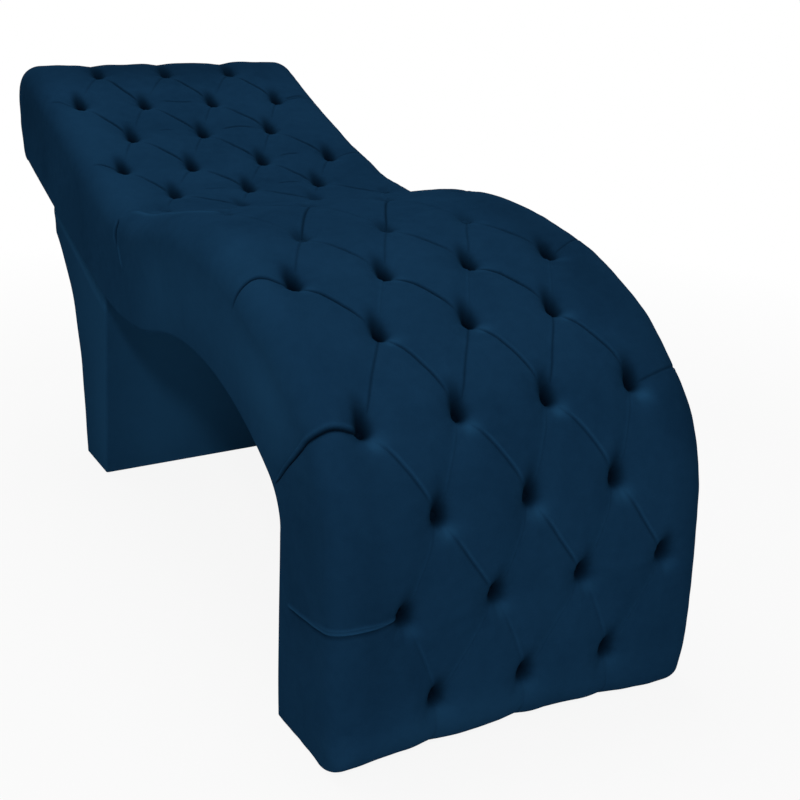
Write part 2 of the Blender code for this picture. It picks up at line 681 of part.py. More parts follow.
def add_leg_mounting():
    """Slats above the leg, the leg's top plate and the lining, all drilled for four bolts."""
    stations = bolt_stations()
    slat_top = DEPTH_RAIL_END - MOUNT_SLAT_THICK
    slats = [
        add_board(name, s, slat_top, MOUNT_SLAT_WIDTH, MOUNT_SLAT_THICK, X_SLAT, TIMBER)
        for name, s in zip(("leg_slat_front", "leg_slat_back"), stations)
    ]
    cloth = LINE.band(
        S_CAVITY + FLANGE_WIDTH + CLEARANCE,
        S_ROLL - FLANGE_WIDTH - CLEARANCE,
        DEPTH_UNDER - LINING_THICK,
        DEPTH_UNDER,
    )
    lining = add_outline("underside_lining", cloth, -X_LINING, X_LINING, LINING)
    plate = top_plate()
    under_plate = DEPTH_UNDER + PLATE_UNDER
    washer_face = under_plate + CLEARANCE + WASHER_THICK
    tip = washer_face + CLEARANCE - DEPTH_RAIL_END + BOLT_GRIP
    bolt = [
        (0.0, -BOLT_HEAD_HEIGHT),
        (BOLT_HEAD_RADIUS, -BOLT_HEAD_HEIGHT),
        (BOLT_HEAD_RADIUS, 0.0),
        (BOLT_RADIUS, 0.0),
        (BOLT_RADIUS, tip),
        (0.0, tip),
    ]
    hole_radius = BOLT_RADIUS + CLEARANCE
    washer = [
        (hole_radius, 0.0),
        (WASHER_RADIUS, 0.0),
        (WASHER_RADIUS, WASHER_THICK),
        (hole_radius, WASHER_THICK),
    ]
    hole_end = tip + CLEARANCE
    drill = [(0.0, 0.0), (hole_radius, 0.0), (hole_radius, hole_end), (0.0, hole_end)]
    spots = [(slat, s, x) for slat, s in zip(slats, stations) for x in (-BOLT_SPREAD, BOLT_SPREAD)]
    for number, (slat, s, x) in enumerate(spots, start=1):
        head = slab_frame(s, washer_face + CLEARANCE, x)
        add_turned(f"leg_bolt_{number}", bolt, head, BOLT_SIDES, STEEL)
        face = slab_frame(s, washer_face, x)
        add_turned(f"leg_washer_{number}", washer, face, BOLT_SIDES, STEEL, ring=True)
        hole = add_turned(f"bolt_hole_{number}", drill, head, BOLT_SIDES, None, CUTTERS)
        for item in (slat, lining, plate):
            cut(item, hole)


def add_glides():
    """Nylon glides under the foot end and under the leg."""
    profile = [
        (0.0, 0.0),
        (GLIDE_RADIUS - GLIDE_EDGE, 0.0),
        (GLIDE_RADIUS, GLIDE_EDGE),
        (GLIDE_RADIUS, GLIDE_HEIGHT),
        (0.0, GLIDE_HEIGHT),
    ]
    hem_depth = FOOT_HEM_RADIUS - TUFT_DEPTH
    foot_y = [LINE.place(S_FOOT, depth).x for depth in (hem_depth + GLIDE_INSET, DEPTH_UNDER - GLIDE_INSET)]
    leg_y = [LEG_FRAME.front + GLIDE_INSET, LEG_FRAME.back - GLIDE_INSET]
    for name, rows, x in (
        ("foot_glide", foot_y, X_RAIL_INNER - GLIDE_INSET),
        ("leg_glide", leg_y, X_LEG_INNER - GLIDE_INSET),
    ):
        spots = [(side * x, y) for y in rows for side in (-1, 1)]
        for number, (across, along) in enumerate(spots, start=1):
            place = Matrix.Translation((across, along, 0.0))
            add_turned(f"{name}_{number}", profile, place, GLIDE_SIDES, PLASTIC)


add_cover()
add_slab_layers()
add_cross_boards()
add_leg_panels()
add_leg_cover()
add_leg_mounting()
add_glides()
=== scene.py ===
"""Looks of the beauty treatment table: a deep-buttoned velvet chaise bed.

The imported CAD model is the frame.  The buttoned cover, its buttons, the leg's
velvet sleeve, the foam and the lining are remade here as cloth and padding, on
the same button line as the CAD.  All other nodes keep their CAD shape and get
the material of their slot.

Frame: X across, Y along the bed (foot end at -Y, head end at +Y), Z up, metres.
"""
import json
import math
from collections import namedtuple

import bpy
import numpy as np
from mathutils import Matrix, Vector


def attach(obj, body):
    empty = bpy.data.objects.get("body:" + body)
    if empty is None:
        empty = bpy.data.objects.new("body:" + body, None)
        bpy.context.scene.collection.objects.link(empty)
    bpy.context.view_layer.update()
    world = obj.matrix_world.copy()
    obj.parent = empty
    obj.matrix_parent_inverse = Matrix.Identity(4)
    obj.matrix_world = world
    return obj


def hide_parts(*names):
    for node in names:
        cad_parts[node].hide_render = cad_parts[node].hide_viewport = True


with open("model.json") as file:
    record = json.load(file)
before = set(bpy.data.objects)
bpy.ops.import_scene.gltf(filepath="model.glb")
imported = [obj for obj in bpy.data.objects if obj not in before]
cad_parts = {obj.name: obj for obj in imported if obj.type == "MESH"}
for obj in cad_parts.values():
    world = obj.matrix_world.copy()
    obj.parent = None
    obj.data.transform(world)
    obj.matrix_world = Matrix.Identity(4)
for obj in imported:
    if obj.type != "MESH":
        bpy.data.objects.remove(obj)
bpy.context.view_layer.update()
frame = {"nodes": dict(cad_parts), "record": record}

BODY = "root"

# The bed's button line, from the foot to the head: runs and (radius, turn) of arcs
LINE_START = (-0.76807, 0.0)
FOOT_RISE = 0.312
KNEE = (0.258, math.radians(-55.9))
THIGH = (0.752, math.radians(-49.8))
HIP = (0.466, math.radians(35.6))
BACK_RUN = 0.470
HEAD_ROLL = (0.053, math.radians(-109.9))
HEAD_DROP = 0.09153
BACK_HEADING = math.radians(19.9)

# Slab layers, as depths below the button line, and distances from the middle
HALF_WIDTH = 0.305
CROWN = 0.032
UNDERSIDE = 0.168
FOAM_TOP = 0.0043
FOAM_UNDER = 0.0488
HALF_FOAM = 0.2947
FOAM_START = 0.040
HALF_OPENING = 0.255
HALF_LINING = 0.2547
LINING_DEPTH = 0.1665
OPENING_START = 0.0603
OPENING_BACK = 0.050
FLOOR_GAP = 0.0063
EDGE_RADIUS = 0.035
FOOT_FULLNESS = 0.008
FOOT_FULL_RISE = 0.35
HEAD_HEM = 0.060
HEAD_DRAW = 0.030
HEAD_TUCK = 0.002
HEAD_DRAW_POWER = 1.2
HEAD_CORNER_RUN = 0.014
HEAD_SNAP_POWER = 3
UNDER_EDGE_RADIUS = 0.007
HEAD_TILT = 0.006
HEAD_TILT_RUN = (1.60, 1.95)

# Radius of the foot's hem at places across, from the near side to the far one
FOOT_HEM = ((-0.305, -0.20, 0.05, 0.305), (0.045, 0.058, 0.060, 0.018))
FOOT_HEM_MOST = max(FOOT_HEM[1])

# Form of each long side at places along the line: (place, half width, edge radius)
NEAR_SIDE = (
    (0.0, 0.310, 0.008), (0.06, 0.310, 0.050), (0.20, 0.308, 0.050), (0.35, 0.305, 0.050),
    (1.20, 0.305, 0.045), (1.60, 0.305, 0.042), (1.90, 0.310, 0.040), (2.17, 0.311, 0.034),
)
FAR_SIDE = (
    (0.0, 0.308, 0.040), (0.05, 0.317, 0.038), (0.14, 0.323, 0.035), (0.30, 0.320, 0.035),
    (0.56, 0.317, 0.034), (0.68, 0.323, 0.029), (0.84, 0.315, 0.036), (1.10, 0.306, 0.040),
    (1.30, 0.306, 0.045), (1.42, 0.316, 0.045), (1.52, 0.306, 0.050), (1.70, 0.302, 0.055),
    (1.95, 0.307, 0.047), (2.08, 0.308, 0.034), (2.17, 0.308, 0.034),
)
SIDE_EASE = 0.030
EASE_STEPS = 9
TURN_SHARE = 0.4
PANEL_FADE = 0.3

# Button rows, foot to head: place along the line, drift sideways, painted gleam below and share of the full
# depth
ROW_PLACES = (
    0.093, 0.236, 0.370, 0.496, 0.642, 0.770, 0.902, 1.085,
    1.205, 1.345, 1.452, 1.560, 1.687, 1.819, 1.960,
)
ROW_DRIFT = (
    0.002, 0.022, 0.003, -0.007, 0.007, 0.004, 0.001, 0.028,
    0.012, 0.008, -0.013, -0.016, -0.022, -0.028, -0.011,
)
ROW_PAINTED_GLEAMS = (
    0.22, 0.38, 0.75, 0.75, 0.60, 0.35, 0.15, 0.0,
    0.0, 0.0, 0.10, 0.10, 0.10, 0.10, 0.10,
)
ROW_DEPTHS = (
    1.0, 1.0, 1.0, 1.0, 1.0, 1.0, 0.42, 0.22,
    0.25, 0.35, 0.80, 0.85, 0.85, 0.85, 0.70,
)
BUTTON_SHIFTS = {(11, -1.5): (0.012, 0.006), (13, -1.5): (0.016, 0.010)}
SHALLOW_BUTTONS = {(6, 1.0): 0.6, (9, -1.5): 0.4, (9, 1.5): 0.4}
PITCH = 0.150
BUTTON_RADIUS = 0.0105
BUTTON_RISE = 0.0050
BUTTON_SIDES = 28
BUTTON_SINK = 0.0015
# Painted shade on the buttons, which sit at the bottom of their pockets
BUTTON_SHADE = 0.92
BUTTON_FOLD = 0.012
BUTTON_FOLDS = 9.0

# Tufting
CELL = 0.0018
PANEL_STEPS = 60
TURN_STEPS = 4
UNDER_STEPS = 14
HEM_STEPS = 36
TUCK_STEPS = 16
FUNNEL_REACH = 0.058
FUNNEL_SHARE = 0.62
FUNNEL_POWER = 2.2
POCKET_RADIUS = 0.0105
POCKET_POWER = 2.4
POCKET_SINK = 0.003
# Painted shade in each pocket: its strength by depth and how far it spreads
POCKET_SHADE = 1.15
POCKET_SHADE_POWER = 0.40
POCKET_ACROSS = 1.18
POCKET_ABOVE = 0.42
POCKET_BELOW = 1.5
SWELL = 0.0030
SWELL_LEVEL = 0.6
SWELL_REACH = 0.022
SWELL_EDGE = (0.235, 0.300)
PLEAT_WIDTH = 0.0020
PLEAT_MARGIN = 0.060
PLEAT_FADE = 0.05
VALLEY_SHARE = 0.82
SHOULDER_SHARE = 0.18
SHOULDER_REACH = 4.5
CREASE_REACH = 0.9
LIP_PLACE = 1.8
LIP_WIDTH = 1.1
PUCKER = 0.0006
PUCKER_RING = (0.022, 0.012)
PUCKER_COUNTS = (7, 8, 9)
PUCKER_PHASE = 40.0
MILLIMETRES = 1000
# Painted gleam below each button: its place and size
PAINTED_GLEAM_PLACE = (0.010, -0.018)
PAINTED_GLEAM_SIZE = (0.015, 0.012)
SEED = 11

# Unevenness: heights and sizes of the cover's bumps, and how waves make them
UNEVEN = ((0.0009, 0.12), (0.0002, 0.035))
WAVES = 9
WAVE_SPREAD = (0.7, 1.6)

# Pleats: depth, lip beside it, painted shade in the crease, painted gleam on the lip, share of the usual
# width
Pleat = namedtuple("Pleat", "depth lip dark gleam width", defaults=(0.0, 1.0))

# Pleats down to the right from each row, foot to head: the pleat, its bow, its fades at start and end
FALLING = (
    (Pleat(0.0, 0.0, 0.0), 0.0, 0.35, 0.30),
    (Pleat(0.0012, 0.0005, 0.12, 0.15), 0.002, 0.35, 0.30),
    (Pleat(0.0020, 0.0009, 0.45, 0.35), 0.001, 0.35, 0.35),
    (Pleat(0.0020, 0.0009, 0.45, 0.40), 0.004, 0.35, 0.40),
    (Pleat(0.0028, 0.0010, 0.70, 0.20), 0.005, 0.20, 0.42),
    (Pleat(0.0040, 0.0012, 0.90), 0.004, 0.20, 0.45),
    (Pleat(0.0036, 0.0010, 0.58), 0.004, 0.50, 0.50),
    (Pleat(0.0012, 0.0004, 0.10), 0.0, 0.35, 0.30),
    (Pleat(0.0020, 0.0006, 0.25), 0.0, 0.35, 0.30),
    (Pleat(0.0020, 0.0006, 0.25), 0.0, 0.35, 0.30),
    (Pleat(0.0034, 0.0010, 0.65), 0.0, 0.65, 0.30),
    (Pleat(0.0036, 0.0010, 0.70), 0.0, 0.65, 0.30),
    (Pleat(0.0040, 0.0010, 0.80), 0.0, 0.65, 0.30),
    (Pleat(0.0040, 0.0010, 0.80), 0.0, 0.60, 0.30),
    (Pleat(0.0040, 0.0010, 0.80), 0.0, 0.45, 0.30),
)

# Pleats up to the right: the usual ones, those of the back, and rows with their own
RISING_PLEAT = Pleat(0.0010, 0.0005, 0.0, 0.12)
BACK_RISING_PLEAT = Pleat(0.0014, 0.0004, 0.28)
BACK_ROW = 10
OWN_RISING_PLEATS = {
    4: Pleat(0.0014, 0.0005, 0.42),
    6: Pleat(0.0012, 0.0004, 0.32),
    7: Pleat(0.0030, 0.0008, 0.65),
}
NO_RISING = ((7, 1.5),)
RISING_BOW = 0.003
BACK_RISING_FADE = 0.75

# Pleats to the far edge and to the hems
FAR_EDGE_PLEAT = Pleat(0.0018, 0.0005, 0.42)
FAR_EDGE_REACH = 0.030
FAR_EDGE_FADE = 0.45
END_PLEAT = Pleat(0.0022, 0.0, 0.20)
END_DRIFT = -0.004
END_PLACE = -0.03
END_FADE = 0.7
HEAD_END_PLEAT = Pleat(0.0008, 0.0, 0.10)

# Broad patches of brushed pile and of painted light and shade: place (across, along), reach (across,
# along), lighter share, below 0 darker
Patch = namedtuple("Patch", "across along wide long light")
BRUSHED_PILE_AND_PAINTED_LIGHT = (
    Patch(-0.39, 0.80, 0.090, 0.22, 0.38),
    Patch(-0.42, 1.14, 0.090, 0.17, 0.40),
    Patch(-0.38, 0.62, 0.075, 0.10, 0.40),
    Patch(-0.27, 0.85, 0.050, 0.12, 0.22),
    Patch(-0.10, 0.04, 0.220, 0.05, 0.34),
    Patch(-0.262, 0.30, 0.034, 0.24, -0.22),
    Patch(0.30, 0.40, 0.045, 0.30, -0.26),
    Patch(0.245, 0.86, 0.050, 0.20, -0.26),
    Patch(-0.27, 1.42, 0.070, 0.13, 0.20),
    Patch(-0.26, 1.72, 0.060, 0.16, 0.22),
    Patch(-0.37, 1.95, 0.070, 0.14, -0.25),
    Patch(-0.40, 0.26, 0.070, 0.24, -0.12),
    Patch(-0.10, 0.72, 0.170, 0.12, 0.10),
    Patch(-0.12, 1.60, 0.160, 0.20, 0.10),
    Patch(-0.20, 0.27, 0.070, 0.17, -0.14),
    Patch(-0.02, 0.35, 0.090, 0.16, -0.06),
    Patch(0.0, 1.99, 0.300, 0.075, -0.40),
    Patch(-0.42, 1.62, 0.080, 0.14, -0.10),
)

# Edge pleats on the near side: row of the button, knots as (across, along), the pleat, its fade at the end
NEAR_EDGE_PLEATS = (
    (1, ((-0.244, 0.234), (-0.268, 0.234), (-0.292, 0.229), (-0.318, 0.222), (-0.352, 0.216),
         (-0.406, 0.211), (-0.463, 0.204)), Pleat(0.0036, 0.0034, 0.35, 0.75, 1.5), 0.05),
    (1, ((-0.244, 0.240), (-0.268, 0.241), (-0.292, 0.236), (-0.318, 0.229), (-0.352, 0.223),
         (-0.396, 0.217)), Pleat(0.0022, 0.0022, 0.15, 0.45), 0.40),
    (3, ((-0.253, 0.500), (-0.277, 0.506), (-0.301, 0.506), (-0.358, 0.505), (-0.424, 0.506),
         (-0.486, 0.500)), Pleat(0.0060, 0.0028, 1.0, 0.25, 1.5), 0.04),
    (5, ((-0.243, 0.778), (-0.259, 0.786), (-0.277, 0.793), (-0.298, 0.793), (-0.319, 0.793),
         (-0.346, 0.797)), Pleat(0.0040, 0.0012, 0.85, 0.0, 1.1), 0.26),
    (11, ((-0.248, 1.574), (-0.268, 1.581), (-0.290, 1.590)), Pleat(0.0026, 0.0008, 0.60), 0.40),
    (13, ((-0.262, 1.830), (-0.283, 1.842), (-0.304, 1.858)), Pleat(0.0018, 0.0006, 0.34), 0.40),
)

# Edge pleats on the far side: row of the button, rise along the cloth to the edge
FAR_EDGE_RISES = {3: 0.024, 5: 0.045, 11: -0.004, 13: -0.004}

# Loose wrinkles: knots as (across, along), then the pleat
WRINKLE_FADE = 0.25
WRINKLES = (
    (((-0.352, 1.368), (-0.334, 1.376), (-0.316, 1.373), (-0.307, 1.373), (-0.298, 1.379)),
     Pleat(0.0045, 0.0020, 1.0, 0.35, 1.5)),
    (((-0.340, 1.370), (-0.367, 1.362), (-0.395, 1.347)), Pleat(0.0010, 0.0022, 0.0, 0.55, 1.6)),
    # The crest's lip carries only a painted highlight
    (((-0.290, 1.366), (-0.277, 1.328), (-0.271, 1.204), (-0.235, 1.108), (-0.163, 1.076)),
     Pleat(0.0, 0.0035, 0.0, 0.55, 2.5)),
    (((-0.070, 1.832), (-0.034, 1.821), (0.008, 1.816)), Pleat(0.0016, 0.0006, 0.45)),
    (((-0.115, 1.704), (-0.098, 1.706), (-0.079, 1.702)), Pleat(0.0010, 0.0004, 0.25)),
    (((0.014, 1.692), (0.059, 1.701), (0.098, 1.692)), Pleat(0.0018, 0.0006, 0.55)),
    (((0.095, 1.568), (0.120, 1.573), (0.146, 1.572)), Pleat(0.0014, 0.0006, 0.40)),
    (((0.044, 1.456), (0.072, 1.459), (0.101, 1.456)), Pleat(0.0014, 0.0006, 0.40)),
    (((0.215, 1.824), (0.240, 1.826), (0.266, 1.824)), Pleat(0.0016, 0.0006, 0.50)),
    (((-0.112, 1.456), (-0.082, 1.456), (-0.052, 1.452)), Pleat(0.0010, 0.0004, 0.20)),
)


class BedLine:
    """The button line in the YZ plane, read by distance along it."""

    def __init__(self):
        runs = [
            (FOOT_RISE, 0.0, 0.0),
            self.arc(*KNEE),
            self.arc(*THIGH),
            self.arc(*HIP),
            (BACK_RUN, 0.0, 0.0),
            self.arc(*HEAD_ROLL),
            (HEAD_DROP, 0.0, 0.0),
        ]
        self.runs = []
        self.starts = []
        self.length = 0.0
        y, z, heading = *LINE_START, math.pi / 2
        for length, radius, turn in runs:
            self.runs.append((length, y, z, heading, radius, turn))
            self.starts.append(self.length)
            self.length += length
            y, z, heading = self.along(self.runs[-1], length)

    @staticmethod
    def arc(radius, turn):
        return abs(turn) * radius, radius, turn

    @staticmethod
    def along(run, distance):
        """Point and heading at a distance along one run."""
        length, y, z, heading, radius, turn = run
        if not radius:
            return y + np.cos(heading) * distance, z + np.sin(heading) * distance, heading + 0.0 * distance
        reach = math.copysign(radius, turn)
        turned = heading + turn * distance / length
        return (
            y + reach * (np.sin(turned) - np.sin(heading)),
            z + reach * (np.cos(heading) - np.cos(turned)),
            turned,
        )

    def frame(self, s):
        """Points (y, z) and headings at distances along the line."""
        s = np.asarray(s, float)
        found = np.zeros((3, *s.shape))
        which = np.clip(np.searchsorted(self.starts, s, side="right") - 1, 0, None)
        for number, run in enumerate(self.runs):
            here = which == number
            found[:, here] = self.along(run, s[here] - self.starts[number])
        return found

    def place(self, s, depth):
        """Points (y, z) at distances along the line and depths below it."""
        y, z, heading = self.frame(s)
        return y + np.sin(heading) * depth, z - np.cos(heading) * depth


LINE = BedLine()
ROLL_START = LINE.starts[5]
OPENING_END = ROLL_START - OPENING_BACK


def underside_height(y):
    """Height of the straight underside behind the hip at y."""
    corner_y, corner_z = LINE.place(ROLL_START, UNDERSIDE)
    return corner_z + (y - corner_y) * math.tan(BACK_HEADING)


def row_columns(row):
    """Places of one row's buttons across the bed, in pitches from the middle."""
    return (-1.5, -0.5, 0.5, 1.5) if row % 2 else (-1.0, 0.0, 1.0)


def button_spot(row, column):
    """Place of a button on the flat cloth: across, along."""
    spot = np.array((column * PITCH + ROW_DRIFT[row], ROW_PLACES[row]))
    return spot + BUTTON_SHIFTS.get((row, column), 0.0)


BUTTONS = {
    (row, column): button_spot(row, column)
    for row in range(len(ROW_PLACES))
    for column in row_columns(row)
}
DEPTHS = {spot: ROW_DEPTHS[spot[0]] * SHALLOW_BUTTONS.get(spot, 1.0) for spot in BUTTONS}


def smooth(part):
    """Smooth step from 0 to 1."""
    part = np.clip(part, 0.0, 1.0)
    return part * part * (3.0 - 2.0 * part)


def stepped(value, start, end):
    """Smooth step from 0 at the start to 1 at the end."""
    return smooth((value - start) / (end - start))


def soft_spot(across, along):
    """A soft round hill of unit height and reach."""
    return np.exp(-across ** 2 - along ** 2)


def eased(s, places, values):
    """Values between places along the line, with their corners eased."""
    around = np.linspace(-SIDE_EASE, SIDE_EASE, EASE_STEPS)[:, None, None]
    return np.interp(s + around, places, values).mean(axis=0)


def bowed(start, end, bow=0.0, count=14):
    """Points of a curve from start to end, its middle standing bow to the left of the chord."""
    start, end = np.array(start, float), np.array(end, float)
    chord = end - start
    left = np.array((-chord[1], chord[0])) / np.linalg.norm(chord)
    t = np.linspace(0.0, 1.0, count)[:, None]
    return start + chord * t + left * bow * 4.0 * t * (1.0 - t)


def curve_through(knots, count=30):
    """Points of a smooth curve through some knots, by their order."""
    knots = np.asarray(knots, float)
    padded = np.concatenate((2 * knots[:1] - knots[1:2], knots, 2 * knots[-1:] - knots[-2:-1]))
    places = np.linspace(0.0, len(knots) - 1.0, count)
    first = np.minimum(places.astype(int), len(knots) - 2)
    t = (places - first)[:, None]
    a, b, c, d = (padded[first + i] for i in range(4))
    square, cube = 2 * a - 5 * b + 4 * c - d, 3 * b - a - 3 * c + d
    return 0.5 * (2 * b + (c - a) * t + square * t ** 2 + cube * t ** 3)


def beside(points, x, s):
    """Distances of places from a curve, their side of it (+1 is left) and the share of the way along it."""
    best = np.full(x.shape, 1.0)
    side, part = np.zeros(x.shape), np.zeros(x.shape)
    for number, (p, q) in enumerate(zip(points, points[1:])):
        chord = q - p
        u = np.clip(((x - p[0]) * chord[0] + (s - p[1]) * chord[1]) / chord.dot(chord), 0.0, 1.0)
        dx, ds = x - p[0] - u * chord[0], s - p[1] - u * chord[1]
        distance = np.hypot(dx, ds)
        closer = distance < best
        best = np.where(closer, distance, best)
        side = np.where(closer, np.sign(chord[0] * ds - chord[1] * dx), side)
        part = np.where(closer, (number + u) / (len(points) - 1), part)
    return best, side, part


def wave_noise(x, s, size, seed):
    """Smooth seeded unevenness of about unit height, with bumps of about the given size."""
    random = np.random.default_rng(seed)
    total = np.zeros(np.broadcast(x, s).shape)
    for _ in range(WAVES):
        angle = random.uniform(0.0, 2.0 * math.pi)
        pitch = size * random.uniform(*WAVE_SPREAD)
        phase = random.uniform(0.0, 2.0 * math.pi)
        total += np.sin(2.0 * math.pi * (x * math.cos(angle) + s * math.sin(angle)) / pitch + phase)
    return total / math.sqrt(WAVES)


def rising_pleat(row):
    """The pleat up to the right that ends at a row's button."""
    return OWN_RISING_PLEATS.get(row, BACK_RISING_PLEAT if row >= BACK_ROW else RISING_PLEAT)


def pocket_shade(depth):
    """How dark a button's pocket is painted, by its share of the full depth."""
    return min(1.0, POCKET_SHADE * depth)


class Tufting:
    """Heights of the stuffed cover over the flat cloth, and its painted light and shade, on a grid of lines
    across and along.
    """

    def __init__(self, across, along):
        self.across = across
        self.along = along
        shape = (len(along), len(across))
        self.fold, self.crease, self.gleam = np.zeros((3, *shape))
        self.funnel, self.pocket, self.painted_pocket_shade = np.zeros((3, *shape))
        self.gap = np.full(shape, 1.0)

    def window(self, points, margin):
        """The part of the grid around some points: its slices, and its places across and along."""
        low, high = points.min(axis=0) - margin, points.max(axis=0) + margin
        rows = slice(*np.searchsorted(self.along, (low[1], high[1])))
        columns = slice(*np.searchsorted(self.across, (low[0], high[0])))
        return (rows, columns), *np.meshgrid(self.across[columns], self.along[rows])

    @staticmethod
    def keep_most(grid, window, values):
        grid[window] = np.maximum(grid[window], values)

    def add_pleat(self, points, pleat, fade_in=PLEAT_FADE, fade_out=PLEAT_FADE):
        """A folded pleat along a curve, with a lip standing over it on the left, painted shade in its
        crease and a painted gleam on its lip.
        """
        window, x, s = self.window(points, PLEAT_MARGIN)
        best, side, part = beside(points, x, s)
        t = side * best / (PLEAT_WIDTH * pleat.width)
        valley = VALLEY_SHARE * np.exp(-t ** 2) + SHOULDER_SHARE * np.exp(-(t / SHOULDER_REACH) ** 2)
        over = np.exp(-((t - LIP_PLACE) / LIP_WIDTH) ** 2)
        strength = smooth(part / fade_in) * smooth((1.0 - part) / fade_out)
        self.fold[window] += (pleat.lip * over - pleat.depth * valley) * strength
        self.keep_most(self.crease, window, pleat.dark * np.exp(-(t / CREASE_REACH) ** 2) * strength)
        self.keep_most(self.gleam, window, pleat.gleam * over * strength)
        self.gap[window] = np.minimum(self.gap[window], best)

    def add_button(self, spot, depth, gleam):
        """A pocket in a wide dimple of some share of the full depth, with fine puckers round it, painted
        shade in the pocket and a painted gleam below it.
        """
        window, x, s = self.window(spot[None, :], FUNNEL_REACH)
        x, s = x - spot[0], s - spot[1]
        distance = np.hypot(x, s)
        core = np.hypot(x * POCKET_ACROSS, s * np.where(s > 0.0, POCKET_ABOVE, POCKET_BELOW))
        funnel = FUNNEL_SHARE * np.clip(1.0 - distance / FUNNEL_REACH, 0.0, 1.0) ** FUNNEL_POWER
        pocket = np.exp(-(core / POCKET_RADIUS) ** POCKET_POWER)
        patch = soft_spot((x - PAINTED_GLEAM_PLACE[0]) / PAINTED_GLEAM_SIZE[0], (s - PAINTED_GLEAM_PLACE[1]) / PAINTED_GLEAM_SIZE[1])
        self.keep_most(self.funnel, window, depth * funnel)
        self.keep_most(self.pocket, window, depth * pocket)
        self.keep_most(self.painted_pocket_shade, window, pocket_shade(depth) * pocket ** POCKET_SHADE_POWER)
        self.keep_most(self.gleam, window, gleam * patch)
        ring = np.exp(-((distance - PUCKER_RING[0]) / PUCKER_RING[1]) ** 2)
        turns = PUCKER_COUNTS[int(MILLIMETRES * spot[1]) % len(PUCKER_COUNTS)]
        self.fold[window] += PUCKER * ring * np.cos(turns * np.arctan2(s, x) + PUCKER_PHASE * spot[0])

    def heights(self):
        """Heights of the stuffed cloth above the button line."""
        x, s = self.across[None, :], self.along[:, None]
        inside = 1.0 - stepped(np.abs(x), *SWELL_EDGE)
        swell = SWELL * inside * (SWELL_LEVEL - np.exp(-(self.gap / SWELL_REACH) ** 2))
        uneven = sum(height * wave_noise(x, s, size, SEED + i) for i, (height, size) in enumerate(UNEVEN))
        full = (CROWN + swell + self.fold + uneven) * (1.0 - self.funnel)
        floor = CROWN * (1.0 - FUNNEL_SHARE) + POCKET_SINK
        return full - floor * self.pocket

    def painted_shading(self):
        """Painted shade in pockets and creases, up to 1, less the painted light of gleams and of the
        brushed patches, down to -1.
        """
        closed = np.clip(np.maximum(self.painted_pocket_shade, self.crease), 0.0, 1.0)
        light = self.gleam.copy()
        for patch in BRUSHED_PILE_AND_PAINTED_LIGHT:
            across = (self.across[None, :] - patch.across) / patch.wide
            along = (self.along[:, None] - patch.along) / patch.long
            light += patch.light * soft_spot(across, along)
        return closed - light * (1.0 - closed)


